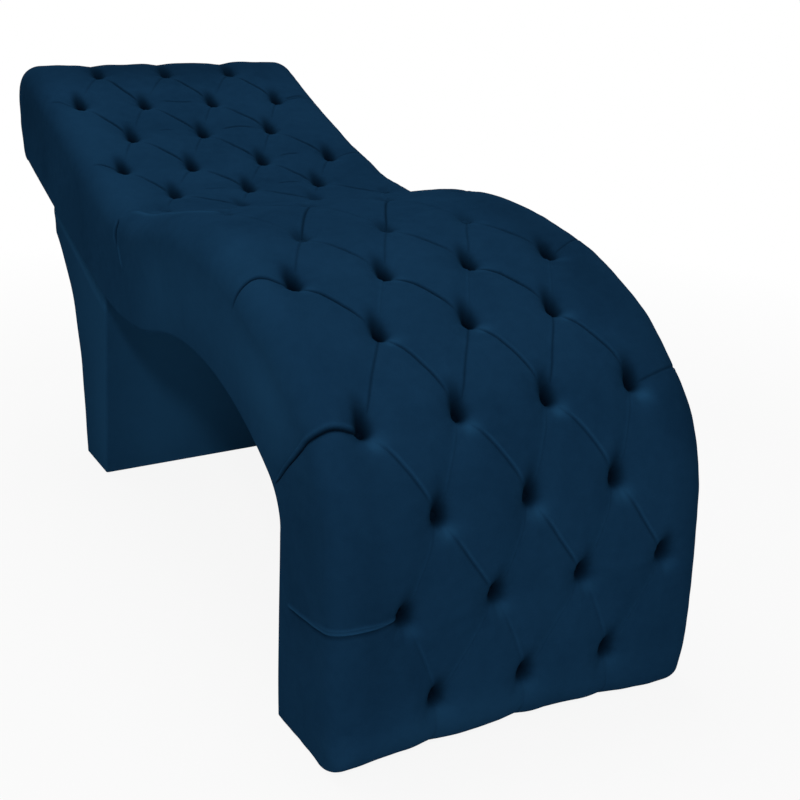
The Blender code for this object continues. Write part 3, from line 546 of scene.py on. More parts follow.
class Cover:
    """The buttoned cover as a loop of columns round the slab, at stations along it."""

    def __init__(self):
        self.stations = self.make_stations()
        self.s = self.stations[:, None]
        self.x_edge = HALF_WIDTH + EDGE_RADIUS * (math.pi / 2 - 1.0)
        self.top = np.linspace(0.0, self.x_edge, round(self.x_edge / CELL) + 1)
        self.panel = np.linspace(0.0, 1.0, PANEL_STEPS + 1)[1:]
        panel_height = UNDERSIDE + CROWN - EDGE_RADIUS
        half = np.concatenate((self.top, self.x_edge + panel_height * self.panel))
        self.across = np.concatenate((-half[:0:-1], half))
        self.middle = len(half) - 1
        self.rise, self.painted_shading = self.tufted()

    @staticmethod
    def make_stations():
        hem = FLOOR_GAP + FOOT_HEM_MOST * (1.0 - np.cos(np.linspace(0.0, math.pi / 2, HEM_STEPS)))
        tuck = LINE.length - HEAD_HEM * (1.0 - np.sin(np.linspace(0.0, math.pi / 2, TUCK_STEPS)))
        steps = round((tuck[0] - hem[-1]) / CELL)
        return np.concatenate((hem[:-1], np.linspace(hem[-1], tuck[0], steps + 1), tuck[1:]))

    def tufted(self):
        """Offsets of the stuffed cloth from its plain rounded form, and its painted light and shade."""
        cloth = Tufting(self.across, self.stations)
        for (row, column), spot in BUTTONS.items():
            cloth.add_button(spot, DEPTHS[row, column], ROW_PAINTED_GLEAMS[row])
            falling = BUTTONS.get((row - 1, column + 0.5))
            rising = BUTTONS.get((row - 1, column - 0.5))
            if falling is not None:
                pleat, bow, *fades = FALLING[row]
                cloth.add_pleat(bowed(spot, falling, bow), pleat, *fades)
            if rising is not None and (row, column) not in NO_RISING:
                fade = BACK_RISING_FADE if row >= BACK_ROW else PLEAT_FADE
                cloth.add_pleat(bowed(rising, spot, RISING_BOW), rising_pleat(row), fade)
        self.add_edge_pleats(cloth)
        return cloth.heights() - CROWN, cloth.painted_shading()

    def add_edge_pleats(self, cloth):
        """Pleats from the outer buttons to the side edges, and from the end rows to the hems."""
        edge = self.x_edge + FAR_EDGE_REACH
        for row, knots, pleat, fade in NEAR_EDGE_PLEATS:
            cloth.add_pleat(curve_through((BUTTONS[row, -1.5], *knots))[::-1], pleat, fade)
        for row, rise in FAR_EDGE_RISES.items():
            far = BUTTONS[row, 1.5]
            cloth.add_pleat(bowed((edge, far[1] + rise), far), FAR_EDGE_PLEAT, FAR_EDGE_FADE)
        for knots, pleat in WRINKLES:
            cloth.add_pleat(curve_through(knots), pleat, WRINKLE_FADE, WRINKLE_FADE)
        for column in row_columns(0):
            foot, head = BUTTONS[0, column], BUTTONS[len(ROW_PLACES) - 1, column]
            cloth.add_pleat(bowed(foot, (foot[0] + END_DRIFT, END_PLACE)), END_PLEAT, END_FADE)
            cloth.add_pleat(bowed(head, (head[0], LINE.length)), HEAD_END_PLEAT)

    def foot_drop(self, sign):
        """How far the foot's hem is drawn in, and its slope, by station and column."""
        radius = np.interp(sign * self.top, *FOOT_HEM)
        low = np.clip(FLOOR_GAP + radius - self.s, 0.0, radius)
        return radius - np.sqrt(radius ** 2 - low ** 2), -np.arcsin(low / radius)

    def near_head(self, run):
        """Share of the way through the line's last run of some length, by station."""
        return np.clip(1.0 - (LINE.length - self.s) / run, 0.0, 1.0)

    def head_drop(self):
        """How far the head's lower edge is drawn in, and its slope, by station."""
        high = self.near_head(HEAD_HEM)
        steep = HEAD_DRAW / HEAD_HEM * HEAD_DRAW_POWER * high ** (HEAD_DRAW_POWER - 1.0)
        return HEAD_DRAW * high ** HEAD_DRAW_POWER, np.arctan(steep)

    def head_corner(self):
        """How far the sides are drawn in at the head's lower corners, by station."""
        return UNDER_EDGE_RADIUS * (1.0 - np.sqrt(1.0 - self.near_head(HEAD_CORNER_RUN) ** 2))

    def half(self, sign):
        """Points of one half of the loop, from the middle of the top to the middle of the underside."""
        places, widths, radii = zip(*(NEAR_SIDE if sign < 0 else FAR_SIDE))
        corner = self.head_corner()
        width, radius = eased(self.s, places, widths) - corner, eased(self.s, places, radii)
        foot, foot_tilt = self.foot_drop(sign)
        head, head_tilt = self.head_drop()
        heading = LINE.frame(self.s)[2]
        base_y, base_z = LINE.place(self.s, -CROWN)
        in_y, in_z = np.sin(heading), -np.cos(heading)
        facing = heading - foot_tilt - head_tilt
        start = width - radius
        theta = np.clip((self.top - start) / (self.x_edge - start), 0.0, 1.0) * math.pi / 2
        lean = sign * HEAD_TILT * stepped(self.s, *HEAD_TILT_RUN) * self.top / self.x_edge
        sink = radius * (1.0 - np.cos(theta)) + foot + head + lean
        rise = self.rise[:, self.middle + sign * np.arange(len(self.top) + len(self.panel))]
        top_rise = rise[:, :len(self.top)]
        x = np.minimum(self.top, start) + (radius + top_rise) * np.sin(theta)
        up = top_rise * np.cos(theta)
        y = base_y + in_y * sink - np.sin(facing) * up
        z = base_z + in_z * sink + np.cos(facing) * up
        top = np.stack((x, y, z), axis=-1)
        edge_y, edge_z = base_y + in_y * sink[:, -1:], base_z + in_z * sink[:, -1:]
        self.snap_head(top, edge_y, edge_z)
        sides = self.side_panel(width, corner, edge_y, edge_z, rise[:, len(self.top):])
        points = np.concatenate((top, sides), axis=1)
        points[..., 0] *= sign
        return points

    def snap_head(self, top, edge_y, edge_z):
        """Lay the last stations on the slab's straight underside."""
        weight = self.near_head(HEAD_HEM) ** HEAD_SNAP_POWER
        top[..., 2] += weight * (underside_height(top[..., 1]) - top[..., 2])
        edge_z += weight * (underside_height(edge_y) - edge_z)

    def under_line(self, edge_y):
        """Lower edge of the side at each station."""
        fuller = FOOT_FULLNESS * (1.0 - smooth(self.s / FOOT_FULL_RISE))
        y, z = LINE.place(np.minimum(self.s, ROLL_START), UNDERSIDE + fuller)
        first_y = edge_y[-1, 0] - 2.0 * HEAD_TUCK
        tucked = y > first_y
        y[tucked] = np.linspace(first_y, first_y + HEAD_TUCK, np.count_nonzero(tucked))
        z[tucked] = underside_height(y[tucked])
        return y, z

    def side_panel(self, width, corner, edge_y, edge_z, rise):
        """The side, its rounded lower edge and half of the underside, at one side of the bed."""
        under_y, under_z = self.under_line(edge_y)
        height = np.hypot(under_y - edge_y, under_z - edge_z)
        turn = np.minimum(UNDER_EDGE_RADIUS, TURN_SHARE * height)
        inset = np.maximum(UNDER_EDGE_RADIUS - turn - corner, 0.0)
        part = self.panel * (1.0 - turn / height)
        fade = smooth((1.0 - self.panel) / PANEL_FADE)
        x = width - inset * self.panel + rise * fade
        angle = np.linspace(0.0, math.pi / 2, TURN_STEPS + 1)[1:]
        part_turn = 1.0 - turn * (1.0 - np.sin(angle)) / height
        x_turn = width - inset - turn * (1.0 - np.cos(angle))
        lip = 0.5 * (HALF_WIDTH + HALF_OPENING)
        across = (lip, *np.linspace(HALF_OPENING, 0.0, UNDER_STEPS + 1))
        x_under = np.broadcast_to(across, (len(height), len(across)))
        parts = np.concatenate((part, part_turn, np.ones_like(x_under)), axis=1)
        xs = np.concatenate((x, x_turn, x_under), axis=1)
        y = edge_y + (under_y - edge_y) * parts
        z = edge_z + (under_z - edge_z) * parts
        return np.stack((xs, y, z), axis=-1)

    def half_shade(self, sign, columns):
        """The painted light and shade on one half of the loop, none where the cloth isn't tufted."""
        found = np.zeros((len(self.stations), columns))
        count = self.middle + 1
        found[:, :count] = self.painted_shading[:, self.middle + sign * np.arange(count)]
        return found

    def mesh(self):
        """The cover's mesh: a loop of faces round the slab, capped at the ends, open below, with each
        point's painted light and shade.
        """
        right, left = self.half(1), self.half(-1)
        loop = np.concatenate((right, left[:, -2:0:-1]), axis=1)
        width = right.shape[1]
        shades = np.concatenate((self.half_shade(1, width), self.half_shade(-1, width)[:, -2:0:-1]), axis=1)
        rows, columns = loop.shape[:2]
        faces = grid_quads(rows, columns)[self.covered(loop)].tolist()
        first, last = range(columns), range((rows - 1) * columns, rows * columns)
        faces += [list(reversed(first)), list(last)]
        return loop.reshape(-1, 3), faces, shades.reshape(-1)

    def covered(self, loop):
        """False for the faces inside the underside's opening."""
        columns = loop.shape[1]
        is_under = np.zeros(columns, bool)
        first = len(self.top) + len(self.panel) + TURN_STEPS + 1
        is_under[first:columns - first] = True
        middle = 0.5 * (self.stations[:-1] + self.stations[1:])
        open_along = (middle > OPENING_START) & (middle < OPENING_END)
        return ~(open_along[:, None] & is_under[None, :])


def add_object(name, data):
    """A new object in the scene."""
    item = bpy.data.objects.new(name, data)
    bpy.context.scene.collection.objects.link(item)
    return item


def new_piece(name, points, faces, slot, smooth_below=60.0):
    """A mesh piece that rides on the bed."""
    mesh = bpy.data.meshes.new(name)
    mesh.from_pydata(np.asarray(points).tolist(), [], faces)
    mesh.validate()
    mesh.shade_smooth()
    mesh.set_sharp_from_angle(angle=math.radians(smooth_below))
    mesh.materials.append(MATERIALS[slot])
    piece = add_object(name, mesh)
    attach(piece, BODY)
    return piece


def grid_quads(rows, columns):
    """Quads of a grid of points in rows, closed round its columns."""
    index = np.arange(rows * columns).reshape(rows, columns)
    ahead = np.roll(index, -1, axis=1)
    return np.stack((index[:-1], ahead[:-1], ahead[1:], index[1:]), axis=-1)


def grid_faces(rows, columns, closed=False):
    """Faces of a grid of points in rows, closed round its columns if asked."""
    quads = grid_quads(rows, columns)
    if not closed:
        quads = quads[:, :-1]
    return quads.reshape(-1, 4).tolist()


# Materials

# Painted light and shade on the velvet: the point attribute that carries it, the painted highlight colour
# and the painted shadow colour
PAINTED_SHADING_ATTRIBUTE = "painted_light_and_shade"
WHITE = (1.0, 1.0, 1.0)
PAINTED_LIGHT_COLOUR = (0.0150, 0.0720, 0.1550)
PAINTED_SHADE_COLOUR = (0.0005, 0.0018, 0.0045)


class Nodes:
    """A node tree and short calls that add nodes to it."""

    def __init__(self, owner):
        owner.use_nodes = True
        self.tree = owner.node_tree

    def add(self, kind, inputs=(), **settings):
        """A node with some settings, and values or links for its inputs."""
        node = self.tree.nodes.new(kind)
        for name, value in settings.items():
            setattr(node, name, value)
        for name, value in dict(inputs).items():
            self.join(value, node.inputs[name])
        return node

    def join(self, value, target):
        """Link a socket, or set a plain value."""
        if isinstance(value, bpy.types.NodeSocket):
            self.tree.links.new(value, target)
        elif target.type == "RGBA":
            target.default_value = (*value, 1.0)
        else:
            target.default_value = value

    def seen_directly(self):
        """1 for camera, glossy and transmission rays, else 0."""
        path = self.add("ShaderNodeLightPath").outputs
        total = path["Is Camera Ray"]
        for name in ("Is Glossy Ray", "Is Transmission Ray"):
            total = self.add("ShaderNodeMath", {0: total, 1: path[name]}, operation="MAXIMUM").outputs[0]
        return total

    def show(self, kind, share, first, second):
        """Send a mix of two shaders to an output."""
        mix = self.add("ShaderNodeMixShader", {0: share, 1: first.outputs[0], 2: second.outputs[0]})
        self.add(kind, {"Surface": mix.outputs[0]})


class Surface(Nodes):
    """A new material of one Principled shader."""

    def __init__(self, name):
        self.material = bpy.data.materials.new(name)
        super().__init__(self.material)
        self.shader = self.tree.nodes["Principled BSDF"]
        self.place = self.add("ShaderNodeTexCoord").outputs["Object"]

    def noise(self, scale, detail=3.0, roughness=0.5, stretch=None, distortion=0.0):
        place = self.place
        if stretch:
            place = self.add("ShaderNodeMapping", {"Vector": place, "Scale": stretch}).outputs["Vector"]
        inputs = {"Vector": place, "Scale": scale, "Detail": detail, "Roughness": roughness}
        return self.add("ShaderNodeTexNoise", {**inputs, "Distortion": distortion}).outputs["Fac"]

    def cells(self, scale, randomness=1.0):
        inputs = {"Vector": self.place, "Scale": scale, "Randomness": randomness}
        return self.add("ShaderNodeTexVoronoi", inputs).outputs["Distance"]

    def ramp(self, source, *stops):
        node = self.add("ShaderNodeValToRGB", {"Fac": source})
        elements = node.color_ramp.elements
        while len(elements) < len(stops):
            elements.new(0.5)
        for element, (position, colour) in zip(elements, stops):
            element.position = position
            element.color = (*colour, 1.0)
        return node.outputs["Color"]

    def blend(self, factor, first, second, kind="MIX"):
        inputs = {0: factor, 6: first, 7: second}
        return self.add("ShaderNodeMix", inputs, data_type="RGBA", blend_type=kind).outputs[2]

    def worn(self, colour, share, marks, start, dull, end):
        """A colour dulled where the marks are low."""
        return self.blend(share, colour, self.ramp(marks, (start, dull), (end, WHITE)), "MULTIPLY")

    def spread(self, source, low, high, end=1.0):
        inputs = {"Value": source, "From Max": end, "To Min": low, "To Max": high}
        return self.add("ShaderNodeMapRange", inputs).outputs["Result"]

    def bump(self, source, strength, distance, **below):
        inputs = {"Height": source, "Strength": strength, "Distance": distance, **below}
        return self.add("ShaderNodeBump", inputs).outputs["Normal"]

    def finish(self, colour, roughness, normal, **others):
        """The material, with its shader's inputs set or linked."""
        inputs = {"Base Color": colour, "Roughness": roughness, "Normal": normal, **others}
        for name, value in inputs.items():
            self.join(value, self.shader.inputs[name.replace("_", " ")])
        return self.material


def velvet():
    nodes = Surface("velvet_pile")
    brushed = nodes.noise(6.0, detail=4.0, roughness=0.55, distortion=0.6)
    mottle = nodes.noise(60.0, detail=4.0, roughness=0.6)
    pile = nodes.noise(1400.0, detail=2.0)
    broad = nodes.ramp(brushed, (0.28, (0.0048, 0.0240, 0.0570)), (0.72, (0.0080, 0.0375, 0.0860)))
    spotted = nodes.ramp(mottle, (0.30, (0.0052, 0.0265, 0.0630)), (0.72, (0.0074, 0.0350, 0.0800)))
    colour = nodes.worn(nodes.blend(0.45, broad, spotted), 1.0, pile, 0.35, (0.80, 0.80, 0.80), 0.65)
    # Painted light and shade: the colour goes towards a lighter blue where the attribute is below 0 and
    # towards near black where it is above 0
    closed = nodes.add("ShaderNodeAttribute", attribute_name=PAINTED_SHADING_ATTRIBUTE).outputs["Fac"]
    colour = nodes.blend(nodes.spread(closed, 0.0, 0.60, end=-1.0), colour, PAINTED_LIGHT_COLOUR)
    colour = nodes.blend(nodes.spread(closed, 0.0, 0.95), colour, PAINTED_SHADE_COLOUR)
    normal = nodes.bump(pile, 0.35, 0.0004, Normal=nodes.bump(mottle, 0.20, 0.0010))
    return nodes.finish(
        colour, nodes.spread(mottle, 0.80, 0.96), normal, Specular_IOR_Level=0.0,
        Sheen_Weight=0.05, Sheen_Roughness=0.5, Sheen_Tint=(0.06, 0.26, 0.55),
    )


def plywood():
    nodes = Surface("plywood_birch")
    grain = nodes.noise(18.0, detail=6.0, stretch=(1.0, 9.0, 1.0), distortion=1.2)
    pores = nodes.noise(420.0, detail=2.0, stretch=(1.0, 0.12, 1.0))
    stops = (0.30, (0.46, 0.31, 0.18)), (0.55, (0.60, 0.43, 0.27)), (0.75, (0.52, 0.36, 0.21))
    colour = nodes.worn(nodes.ramp(grain, *stops), 0.7, pores, 0.42, (0.78, 0.74, 0.70), 0.58)
    return nodes.finish(colour, nodes.spread(pores, 0.60, 0.80), nodes.bump(pores, 0.25, 0.0004))


def timber():
    nodes = Surface("timber_pine")
    rings = nodes.noise(9.0, detail=5.0, stretch=(0.35, 7.0, 7.0), distortion=1.6)
    fibres = nodes.noise(300.0, detail=2.0, stretch=(0.08, 1.0, 1.0))
    stops = (0.32, (0.66, 0.50, 0.31)), (0.52, (0.58, 0.41, 0.23)), (0.70, (0.70, 0.54, 0.35))
    colour = nodes.worn(nodes.ramp(rings, *stops), 0.6, fibres, 0.40, (0.82, 0.78, 0.72), 0.62)
    return nodes.finish(colour, nodes.spread(fibres, 0.62, 0.85), nodes.bump(fibres, 0.3, 0.0005))


def hardboard():
    nodes = Surface("hardboard_brown")
    fibres = nodes.noise(260.0, detail=5.0, roughness=0.7)
    colour = nodes.ramp(fibres, (0.34, (0.17, 0.10, 0.05)), (0.66, (0.31, 0.19, 0.10)))
    colour = nodes.worn(colour, 0.8, nodes.noise(14.0), 0.35, (0.85, 0.82, 0.80), 0.65)
    return nodes.finish(colour, nodes.spread(fibres, 0.45, 0.70), nodes.bump(fibres, 0.2, 0.0003))


def foam():
    nodes = Surface("foam_open_cell")
    cells = nodes.cells(700.0)
    colour = nodes.ramp(nodes.noise(11.0), (0.30, (0.78, 0.71, 0.48)), (0.70, (0.88, 0.84, 0.64)))
    colour = nodes.worn(colour, 0.8, cells, 0.05, (0.72, 0.70, 0.66), 0.45)
    return nodes.finish(colour, 0.95, nodes.bump(cells, 0.4, 0.0008))


def lining():
    nodes = Surface("lining_nonwoven")
    fibres = nodes.noise(420.0, detail=5.0, roughness=0.75, stretch=(1.0, 0.55, 1.0))
    dots = nodes.cells(420.0, randomness=0.15)
    colour = nodes.ramp(fibres, (0.30, (0.008, 0.008, 0.009)), (0.70, (0.026, 0.026, 0.029)))
    colour = nodes.worn(colour, 0.8, dots, 0.20, (0.55, 0.55, 0.55), 0.40)
    normal = nodes.bump(fibres, 0.3, 0.0004)
    return nodes.finish(colour, nodes.spread(fibres, 0.75, 0.95), normal, Specular_IOR_Level=0.12)


def steel():
    nodes = Surface("steel_zinc")
    spangle = nodes.noise(180.0, detail=4.0)
    scratches = nodes.noise(900.0, detail=2.0, stretch=(1.0, 0.1, 1.0))
    colour = nodes.ramp(spangle, (0.35, (0.50, 0.51, 0.53)), (0.65, (0.66, 0.66, 0.67)))
    normal = nodes.bump(scratches, 0.15, 0.0002)
    return nodes.finish(colour, nodes.spread(spangle, 0.26, 0.46), normal, Metallic=1.0)


def plastic():
    nodes = Surface("plastic_nylon")
    scuff = nodes.noise(70.0, detail=4.0)
    colour = nodes.ramp(scuff, (0.40, (0.016, 0.016, 0.018)), (0.75, (0.034, 0.034, 0.036)))
    normal = nodes.bump(nodes.noise(650.0), 0.2, 0.0003)
    return nodes.finish(colour, nodes.spread(scuff, 0.40, 0.62), normal)


MAKERS = (velvet, plywood, timber, hardboard, foam, lining, steel, plastic)
MATERIALS = {maker.__name__: maker() for maker in MAKERS}


def dress_nodes():
    """Give every CAD node the material of its slot."""
    for subpart in frame["record"]["subparts"]:
        mesh = frame["nodes"][subpart["node"]].data
        mesh.materials.clear()
        mesh.materials.append(MATERIALS[subpart["material_slot"]])


def paint_light_and_shade(piece, shades):
    """Store each point's painted shade, up to 1, and painted light, down to -1, on a velvet piece."""
    pile = piece.data.attributes.new(PAINTED_SHADING_ATTRIBUTE, "FLOAT", "POINT")
    pile.data.foreach_set("value", shades.astype(np.float32))


def add_cover():
    points, faces, shades = Cover().mesh()
    piece = new_piece("tufted_cover", points, faces, "velvet")
    # The cover's painted light and shade, kept as a point attribute
    paint_light_and_shade(piece, shades)
    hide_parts("velvet_cover")


def button_mesh():
    """A cloth-covered button: a soft dome with a rolled edge."""
    profile = (
        (0.0, 1.00), (0.30, 0.97), (0.58, 0.84), (0.80, 0.58),
        (0.94, 0.24), (1.00, -0.15), (0.97, -0.50),
    )
    points = [(0.0, 0.0, BUTTON_RISE)]
    for radius, height in profile[1:]:
        for i in range(BUTTON_SIDES):
            angle = 2.0 * math.pi * i / BUTTON_SIDES
            fold = 1.0 + BUTTON_FOLD * math.cos(BUTTON_FOLDS * angle) * radius
            across = BUTTON_RADIUS * radius * fold
            points.append((across * math.cos(angle), across * math.sin(angle), BUTTON_RISE * height))
    cap = [(0, 1 + i, 1 + (i + 1) % BUTTON_SIDES) for i in range(BUTTON_SIDES)]
    rings = [[1 + v for v in quad] for quad in grid_faces(len(profile) - 1, BUTTON_SIDES, closed=True)]
    return points, cap + rings


def add_buttons():
    points, faces = button_mesh()
    for (row, column), (x, s) in BUTTONS.items():
        lift = CROWN * (1.0 - DEPTHS[row, column]) - BUTTON_SINK
        y, z = LINE.place(s, -lift)
        heading = LINE.frame(s)[2]
        along = Vector((0.0, math.cos(heading), math.sin(heading)))
        out = Vector((0.0, -math.sin(heading), math.cos(heading)))
        place = Matrix((Vector((1, 0, 0)), along, out)).transposed().to_4x4()
        place.translation = Vector((x, y, z))
        moved = [place @ Vector(p) for p in points]
        number = row_columns(row).index(column) + 1
        piece = new_piece(f"button_{row + 1}_{number}", moved, faces, "velvet")
        # Painted shade on the button, as dark as its pocket's painted shade
        paint_light_and_shade(piece, np.full(len(points), BUTTON_SHADE * pocket_shade(DEPTHS[row, column])))


# Leg

HALF_LEG = 0.265
LEG_FRONT = 0.43057
LEG_LEAN = math.radians(9.8)
LEG_BACK = 0.57557
LEG_LIP = 0.71707
LEG_FLARE_START = 0.200
LEG_FLARE_RADIUS = 0.346
LEG_FLARE_STEPS = 40
LEG_CORNER = 0.005
LEG_ROWS = 90
LEG_SIDE_STEPS = 26
LEG_FACE_STEPS = 60
CORNER_STEPS = 5
LEG_SWELL = 0.0008
LEG_WAVE = 0.16
LEG_WAVE_LEAN = 0.7
LEG_FADE = 0.08
# Painted light on the leg: lighter nap graded across the front and from front to back on the sides, and a
# painted highlight along the fold
LEG_FRONT_PAINTED_LIGHTS = ((-0.265, -0.16, 0.265), (0.28, 0.74, 0.74))
LEG_SIDE_PAINTED_LIGHTS = (0.78, 0.22)
LEG_FOLD_DEPTH = 0.100
LEG_FOLD_WIDTH = 0.011
LEG_FOLD_RISE = 0.0015
LEG_FOLD_PAINTED_LIGHT = 0.70


def resample(points, count):
    """Points evenly spaced along a polyline."""
    points = np.asarray(points, float)
    lengths = np.concatenate(([0.0], np.cumsum(np.linalg.norm(np.diff(points, axis=0), axis=1))))
    places = np.linspace(0.0, lengths[-1], count)
    return np.stack([np.interp(places, lengths, points[:, i]) for i in range(points.shape[1])], axis=1)


def leg_front():
    """The leaning front from the floor up to the slab."""
    slope = math.tan(BACK_HEADING)
    top = underside_height(LEG_FRONT) / (1.0 + slope * math.tan(LEG_LEAN))
    heights = np.linspace(FLOOR_GAP, top, LEG_ROWS)
    return np.stack((LEG_FRONT - heights * math.tan(LEG_LEAN), heights), axis=1)


def leg_back():
    """The back from the floor up: straight shin, hollow flare and lip."""
    centre = LEG_BACK + LEG_FLARE_RADIUS
    sweep = math.acos((centre - LEG_LIP) / LEG_FLARE_RADIUS)
    turns = np.linspace(0.0, sweep, LEG_FLARE_STEPS)
    flare_y = centre - LEG_FLARE_RADIUS * np.cos(turns)
    flare_z = LEG_FLARE_START + LEG_FLARE_RADIUS * np.sin(turns)
    start, end = (LEG_BACK, FLOOR_GAP), (LEG_LIP, underside_height(LEG_LIP))
    return resample((start, *zip(flare_y, flare_z), end), LEG_ROWS)


def leg_ring():
    """The sleeve's round: (x, share from front to back, push along, push across) per column."""
    face = HALF_LEG - LEG_CORNER
    corner = np.linspace(0.0, math.pi / 2, CORNER_STEPS + 1)[1:]
    half = [(x * face, 0.0, -1.0, 0.0) for x in np.linspace(-1.0, 1.0, LEG_FACE_STEPS + 1)]
    half += [(face + LEG_CORNER * math.sin(a), 0.0, -math.cos(a), math.sin(a)) for a in corner]
    half += [(HALF_LEG, share, 0.0, 1.0) for share in np.linspace(0.0, 1.0, LEG_SIDE_STEPS + 1)[1:]]
    half += [(face + LEG_CORNER * math.cos(a), 1.0, math.sin(a), math.cos(a)) for a in corner[:-1]]
    return np.concatenate((half, np.array((0.0, 1.0, 0.0, 0.0)) - half))


def add_leg_sleeve():
    """The leg's velvet, slightly swollen, with a raised fold below the slab; its nap is lighter, graded as
    painted light and shade, with a painted highlight along the fold.
    """
    front, back, ring = leg_front(), leg_back(), leg_ring()
    x, share, push_y, push_x = ring.T
    middle = front[:, None] * (1.0 - share)[:, None] + back[:, None] * share[:, None]
    y = middle[..., 0] + LEG_CORNER * (1.0 - 2.0 * share) + LEG_CORNER * push_y
    z = middle[..., 1]
    rows = np.linspace(0.0, 1.0, LEG_ROWS)[:, None]
    fade = smooth(rows / LEG_FADE) * smooth((1.0 - rows) / LEG_FADE)
    fold = np.exp(-((underside_height(y) - z - LEG_FOLD_DEPTH) / LEG_FOLD_WIDTH) ** 2) * np.abs(push_x)
    swell = LEG_SWELL + LEG_SWELL * wave_noise(x + LEG_WAVE_LEAN * y, z, LEG_WAVE, SEED + 2)
    swell += LEG_FOLD_RISE * fold
    points = np.stack((x + push_x * swell * fade, y + push_y * swell * fade, z), axis=-1)
    faces = grid_faces(LEG_ROWS, len(ring), closed=True)
    piece = new_piece("leg_sleeve", points.reshape(-1, 3), faces, "velvet")
    # Painted light and shade on the sleeve: graded across the front and along the sides, with a painted
    # highlight on the fold
    painted_side_light = LEG_SIDE_PAINTED_LIGHTS[0] + (LEG_SIDE_PAINTED_LIGHTS[1] - LEG_SIDE_PAINTED_LIGHTS[0]) * share
    light = painted_side_light + (np.interp(x, *LEG_FRONT_PAINTED_LIGHTS) - painted_side_light) * np.clip(-push_y, 0.0, 1.0)
    paint_light_and_shade(piece, -(light + LEG_FOLD_PAINTED_LIGHT * fold).reshape(-1))
    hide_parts("leg_cover")


# Foam and lining

FOAM_GAP = 0.0003
FOAM_STEPS = (160, 61)
LINING_STEPS = (220, 70)
LINING_RISE = 0.0008
LINING_WAVE = 0.09
LINING_EDGE = 0.03


def swept(stations, across, depth):
    """Points of a sheet that lies at some depth below the button line."""
    return np.stack(np.broadcast_arrays(across, *LINE.place(stations[:, None], depth)), axis=-1)


def add_foam():
    """The foam pad: a thick bent sheet with square edges."""
    stations = np.linspace(FOAM_START, ROLL_START - FOAM_GAP, FOAM_STEPS[0])
    across = np.linspace(-HALF_FOAM, HALF_FOAM, FOAM_STEPS[1])
    upper, lower = (swept(stations, across, depth) for depth in (FOAM_TOP, FOAM_UNDER))
    rows, columns = upper.shape[:2]
    count = rows * columns
    quads = grid_faces(rows, columns)
    faces = [quad[::-1] for quad in quads] + [[v + count for v in quad] for quad in quads]
    index = np.arange(count).reshape(rows, columns)
    border = np.concatenate((index[0], index[1:, -1], index[-1, -2::-1], index[-2:0:-1, 0]))
    ahead = np.roll(border, -1)
    faces += np.stack((border, ahead, ahead + count, border + count), axis=1).tolist()
    points = np.concatenate((upper.reshape(-1, 3), lower.reshape(-1, 3)))
    piece = new_piece("foam_core", points, faces, "foam", smooth_below=40.0)
    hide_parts("foam_pad")


def add_lining():
    """The black cloth that closes the underside, stretched between its stapled edges."""
    stations = np.linspace(OPENING_START, OPENING_END, LINING_STEPS[0])
    across = np.linspace(-HALF_LINING, HALF_LINING, LINING_STEPS[1])
    rise = LINING_RISE * wave_noise(across[None, :], stations[:, None], LINING_WAVE, SEED + 3)
    edge = smooth((HALF_LINING - np.abs(across)) / LINING_EDGE)
    points = swept(stations, across, LINING_DEPTH + rise * edge)
    piece = new_piece("lining_cloth", points.reshape(-1, 3), grid_faces(*rise.shape), "lining")
    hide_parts("underside_lining")
    y, z = LINE.place(stations, LINING_DEPTH)


# Stage

CAMERA_PLACE = Vector((-0.993, -2.2023, 1.141))
CAMERA_YAW = math.radians(28.86)
CAMERA_PITCH = math.radians(19.80)
CAMERA_ROLL = math.radians(0.95)
CAMERA_LENS = 59.86
SENSOR = 36.0
FLOOR_SIZE = 60.0
FLOOR_COLOUR = (0.70, 0.70, 0.70)
FLOOR_WHITE = {"From Min": 1.2, "From Max": 2.6, "To Min": 0.90, "To Max": 1.0}
WORLD_LIGHT = 0.27
LAMP_TARGET = Vector((0.0, 0.0, 0.4))

# Lamps: name, place, size and power
LAMPS = (
    ("key", (-1.5, -3.1, 2.4), 0.28, 44.0),
    ("front", (-1.8, -4.6, 0.7), 1.2, 37.0),
    ("top", (0.0, 1.0, 4.2), 3.0, 82.0),
)


def add_camera():
    forward = Vector((
        math.sin(CAMERA_YAW) * math.cos(CAMERA_PITCH),
        math.cos(CAMERA_YAW) * math.cos(CAMERA_PITCH),
        -math.sin(CAMERA_PITCH),
    ))
    right = Vector((math.cos(CAMERA_YAW), -math.sin(CAMERA_YAW), 0.0))
    up = right.cross(forward)
    rolled_right = right * math.cos(CAMERA_ROLL) + up * math.sin(CAMERA_ROLL)
    rolled_up = up * math.cos(CAMERA_ROLL) - right * math.sin(CAMERA_ROLL)
    data = bpy.data.cameras.new("camera")
    data.lens = CAMERA_LENS
    data.sensor_width = SENSOR
    camera = add_object("camera", data)
    turn = Matrix((rolled_right, rolled_up, -forward)).transposed().to_4x4()
    camera.matrix_world = Matrix.Translation(CAMERA_PLACE) @ turn
    bpy.context.scene.camera = camera


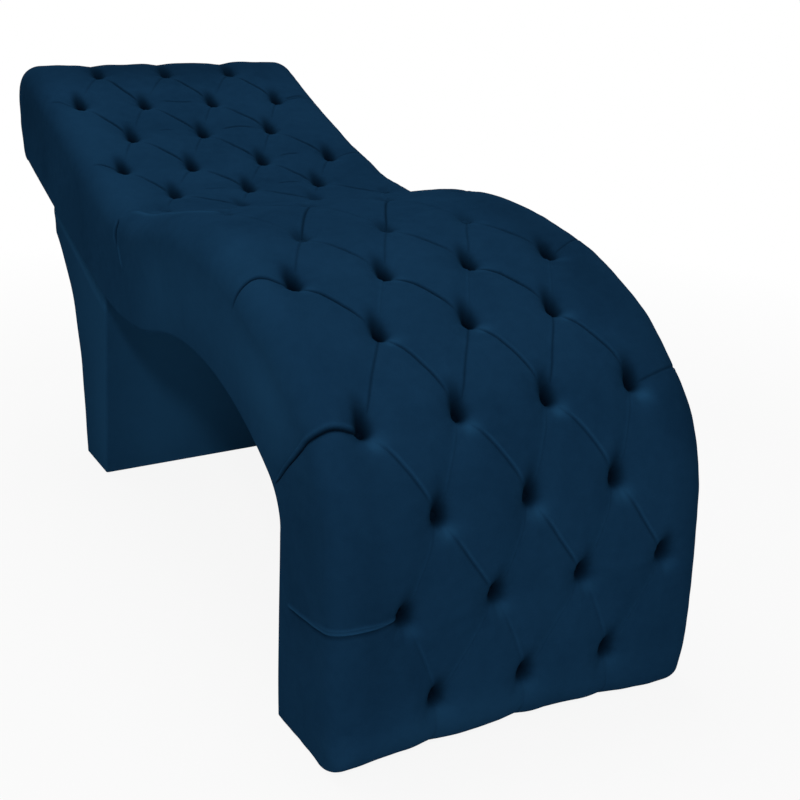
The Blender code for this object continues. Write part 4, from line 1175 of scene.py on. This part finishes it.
def add_lamp(name, place, size, power):
    data = bpy.data.lights.new(name, "AREA")
    data.shape = "DISK"
    data.size = size
    data.energy = power
    aim = (LAMP_TARGET - Vector(place)).to_track_quat("-Z", "Y")
    add_object(name, data).matrix_world = Matrix.Translation(place) @ aim.to_matrix().to_4x4()


def floor_material():
    """A pale floor that shows white, with the object's soft shadow left on it."""
    material = bpy.data.materials.new("floor_white")
    nodes = Nodes(material)
    nodes.tree.nodes.clear()
    paper = nodes.add("ShaderNodeBsdfDiffuse", {"Color": FLOOR_COLOUR})
    glow = nodes.add("ShaderNodeEmission", {"Strength": 1.0})
    place = nodes.add("ShaderNodeTexCoord").outputs["Object"]
    far = nodes.add("ShaderNodeVectorMath", {0: place}, operation="LENGTH").outputs["Value"]
    white = nodes.add("ShaderNodeMapRange", {"Value": far, **FLOOR_WHITE}).outputs["Result"]
    share = nodes.add("ShaderNodeMath", {0: nodes.seen_directly(), 1: white}, operation="MULTIPLY")
    nodes.show("ShaderNodeOutputMaterial", share.outputs[0], paper, glow)
    return material


def add_floor():
    mesh = bpy.data.meshes.new("floor")
    size = FLOOR_SIZE
    corners = [(-size, -size, 0), (size, -size, 0), (size, size, 0), (-size, size, 0)]
    mesh.from_pydata(corners, [], [(0, 1, 2, 3)])
    mesh.materials.append(floor_material())
    floor = add_object("floor", mesh)


def light_world():
    """A soft light from all sides, behind a background that shows white."""
    world = bpy.data.worlds.new("studio")
    bpy.context.scene.world = world
    nodes = Nodes(world)
    nodes.tree.nodes.clear()
    plain = nodes.add("ShaderNodeBackground", {"Strength": WORLD_LIGHT, "Color": WHITE})
    white = nodes.add("ShaderNodeBackground", {"Strength": 1.0, "Color": WHITE})
    nodes.show("ShaderNodeOutputWorld", nodes.seen_directly(), plain, white)


def add_stage():
    add_camera()
    add_floor()
    light_world()
    for lamp in LAMPS:
        add_lamp(*lamp)
    bpy.context.scene.view_settings.view_transform = "Standard"


dress_nodes()
add_cover()
add_buttons()
add_leg_sleeve()
add_foam()
add_lining()
add_stage()
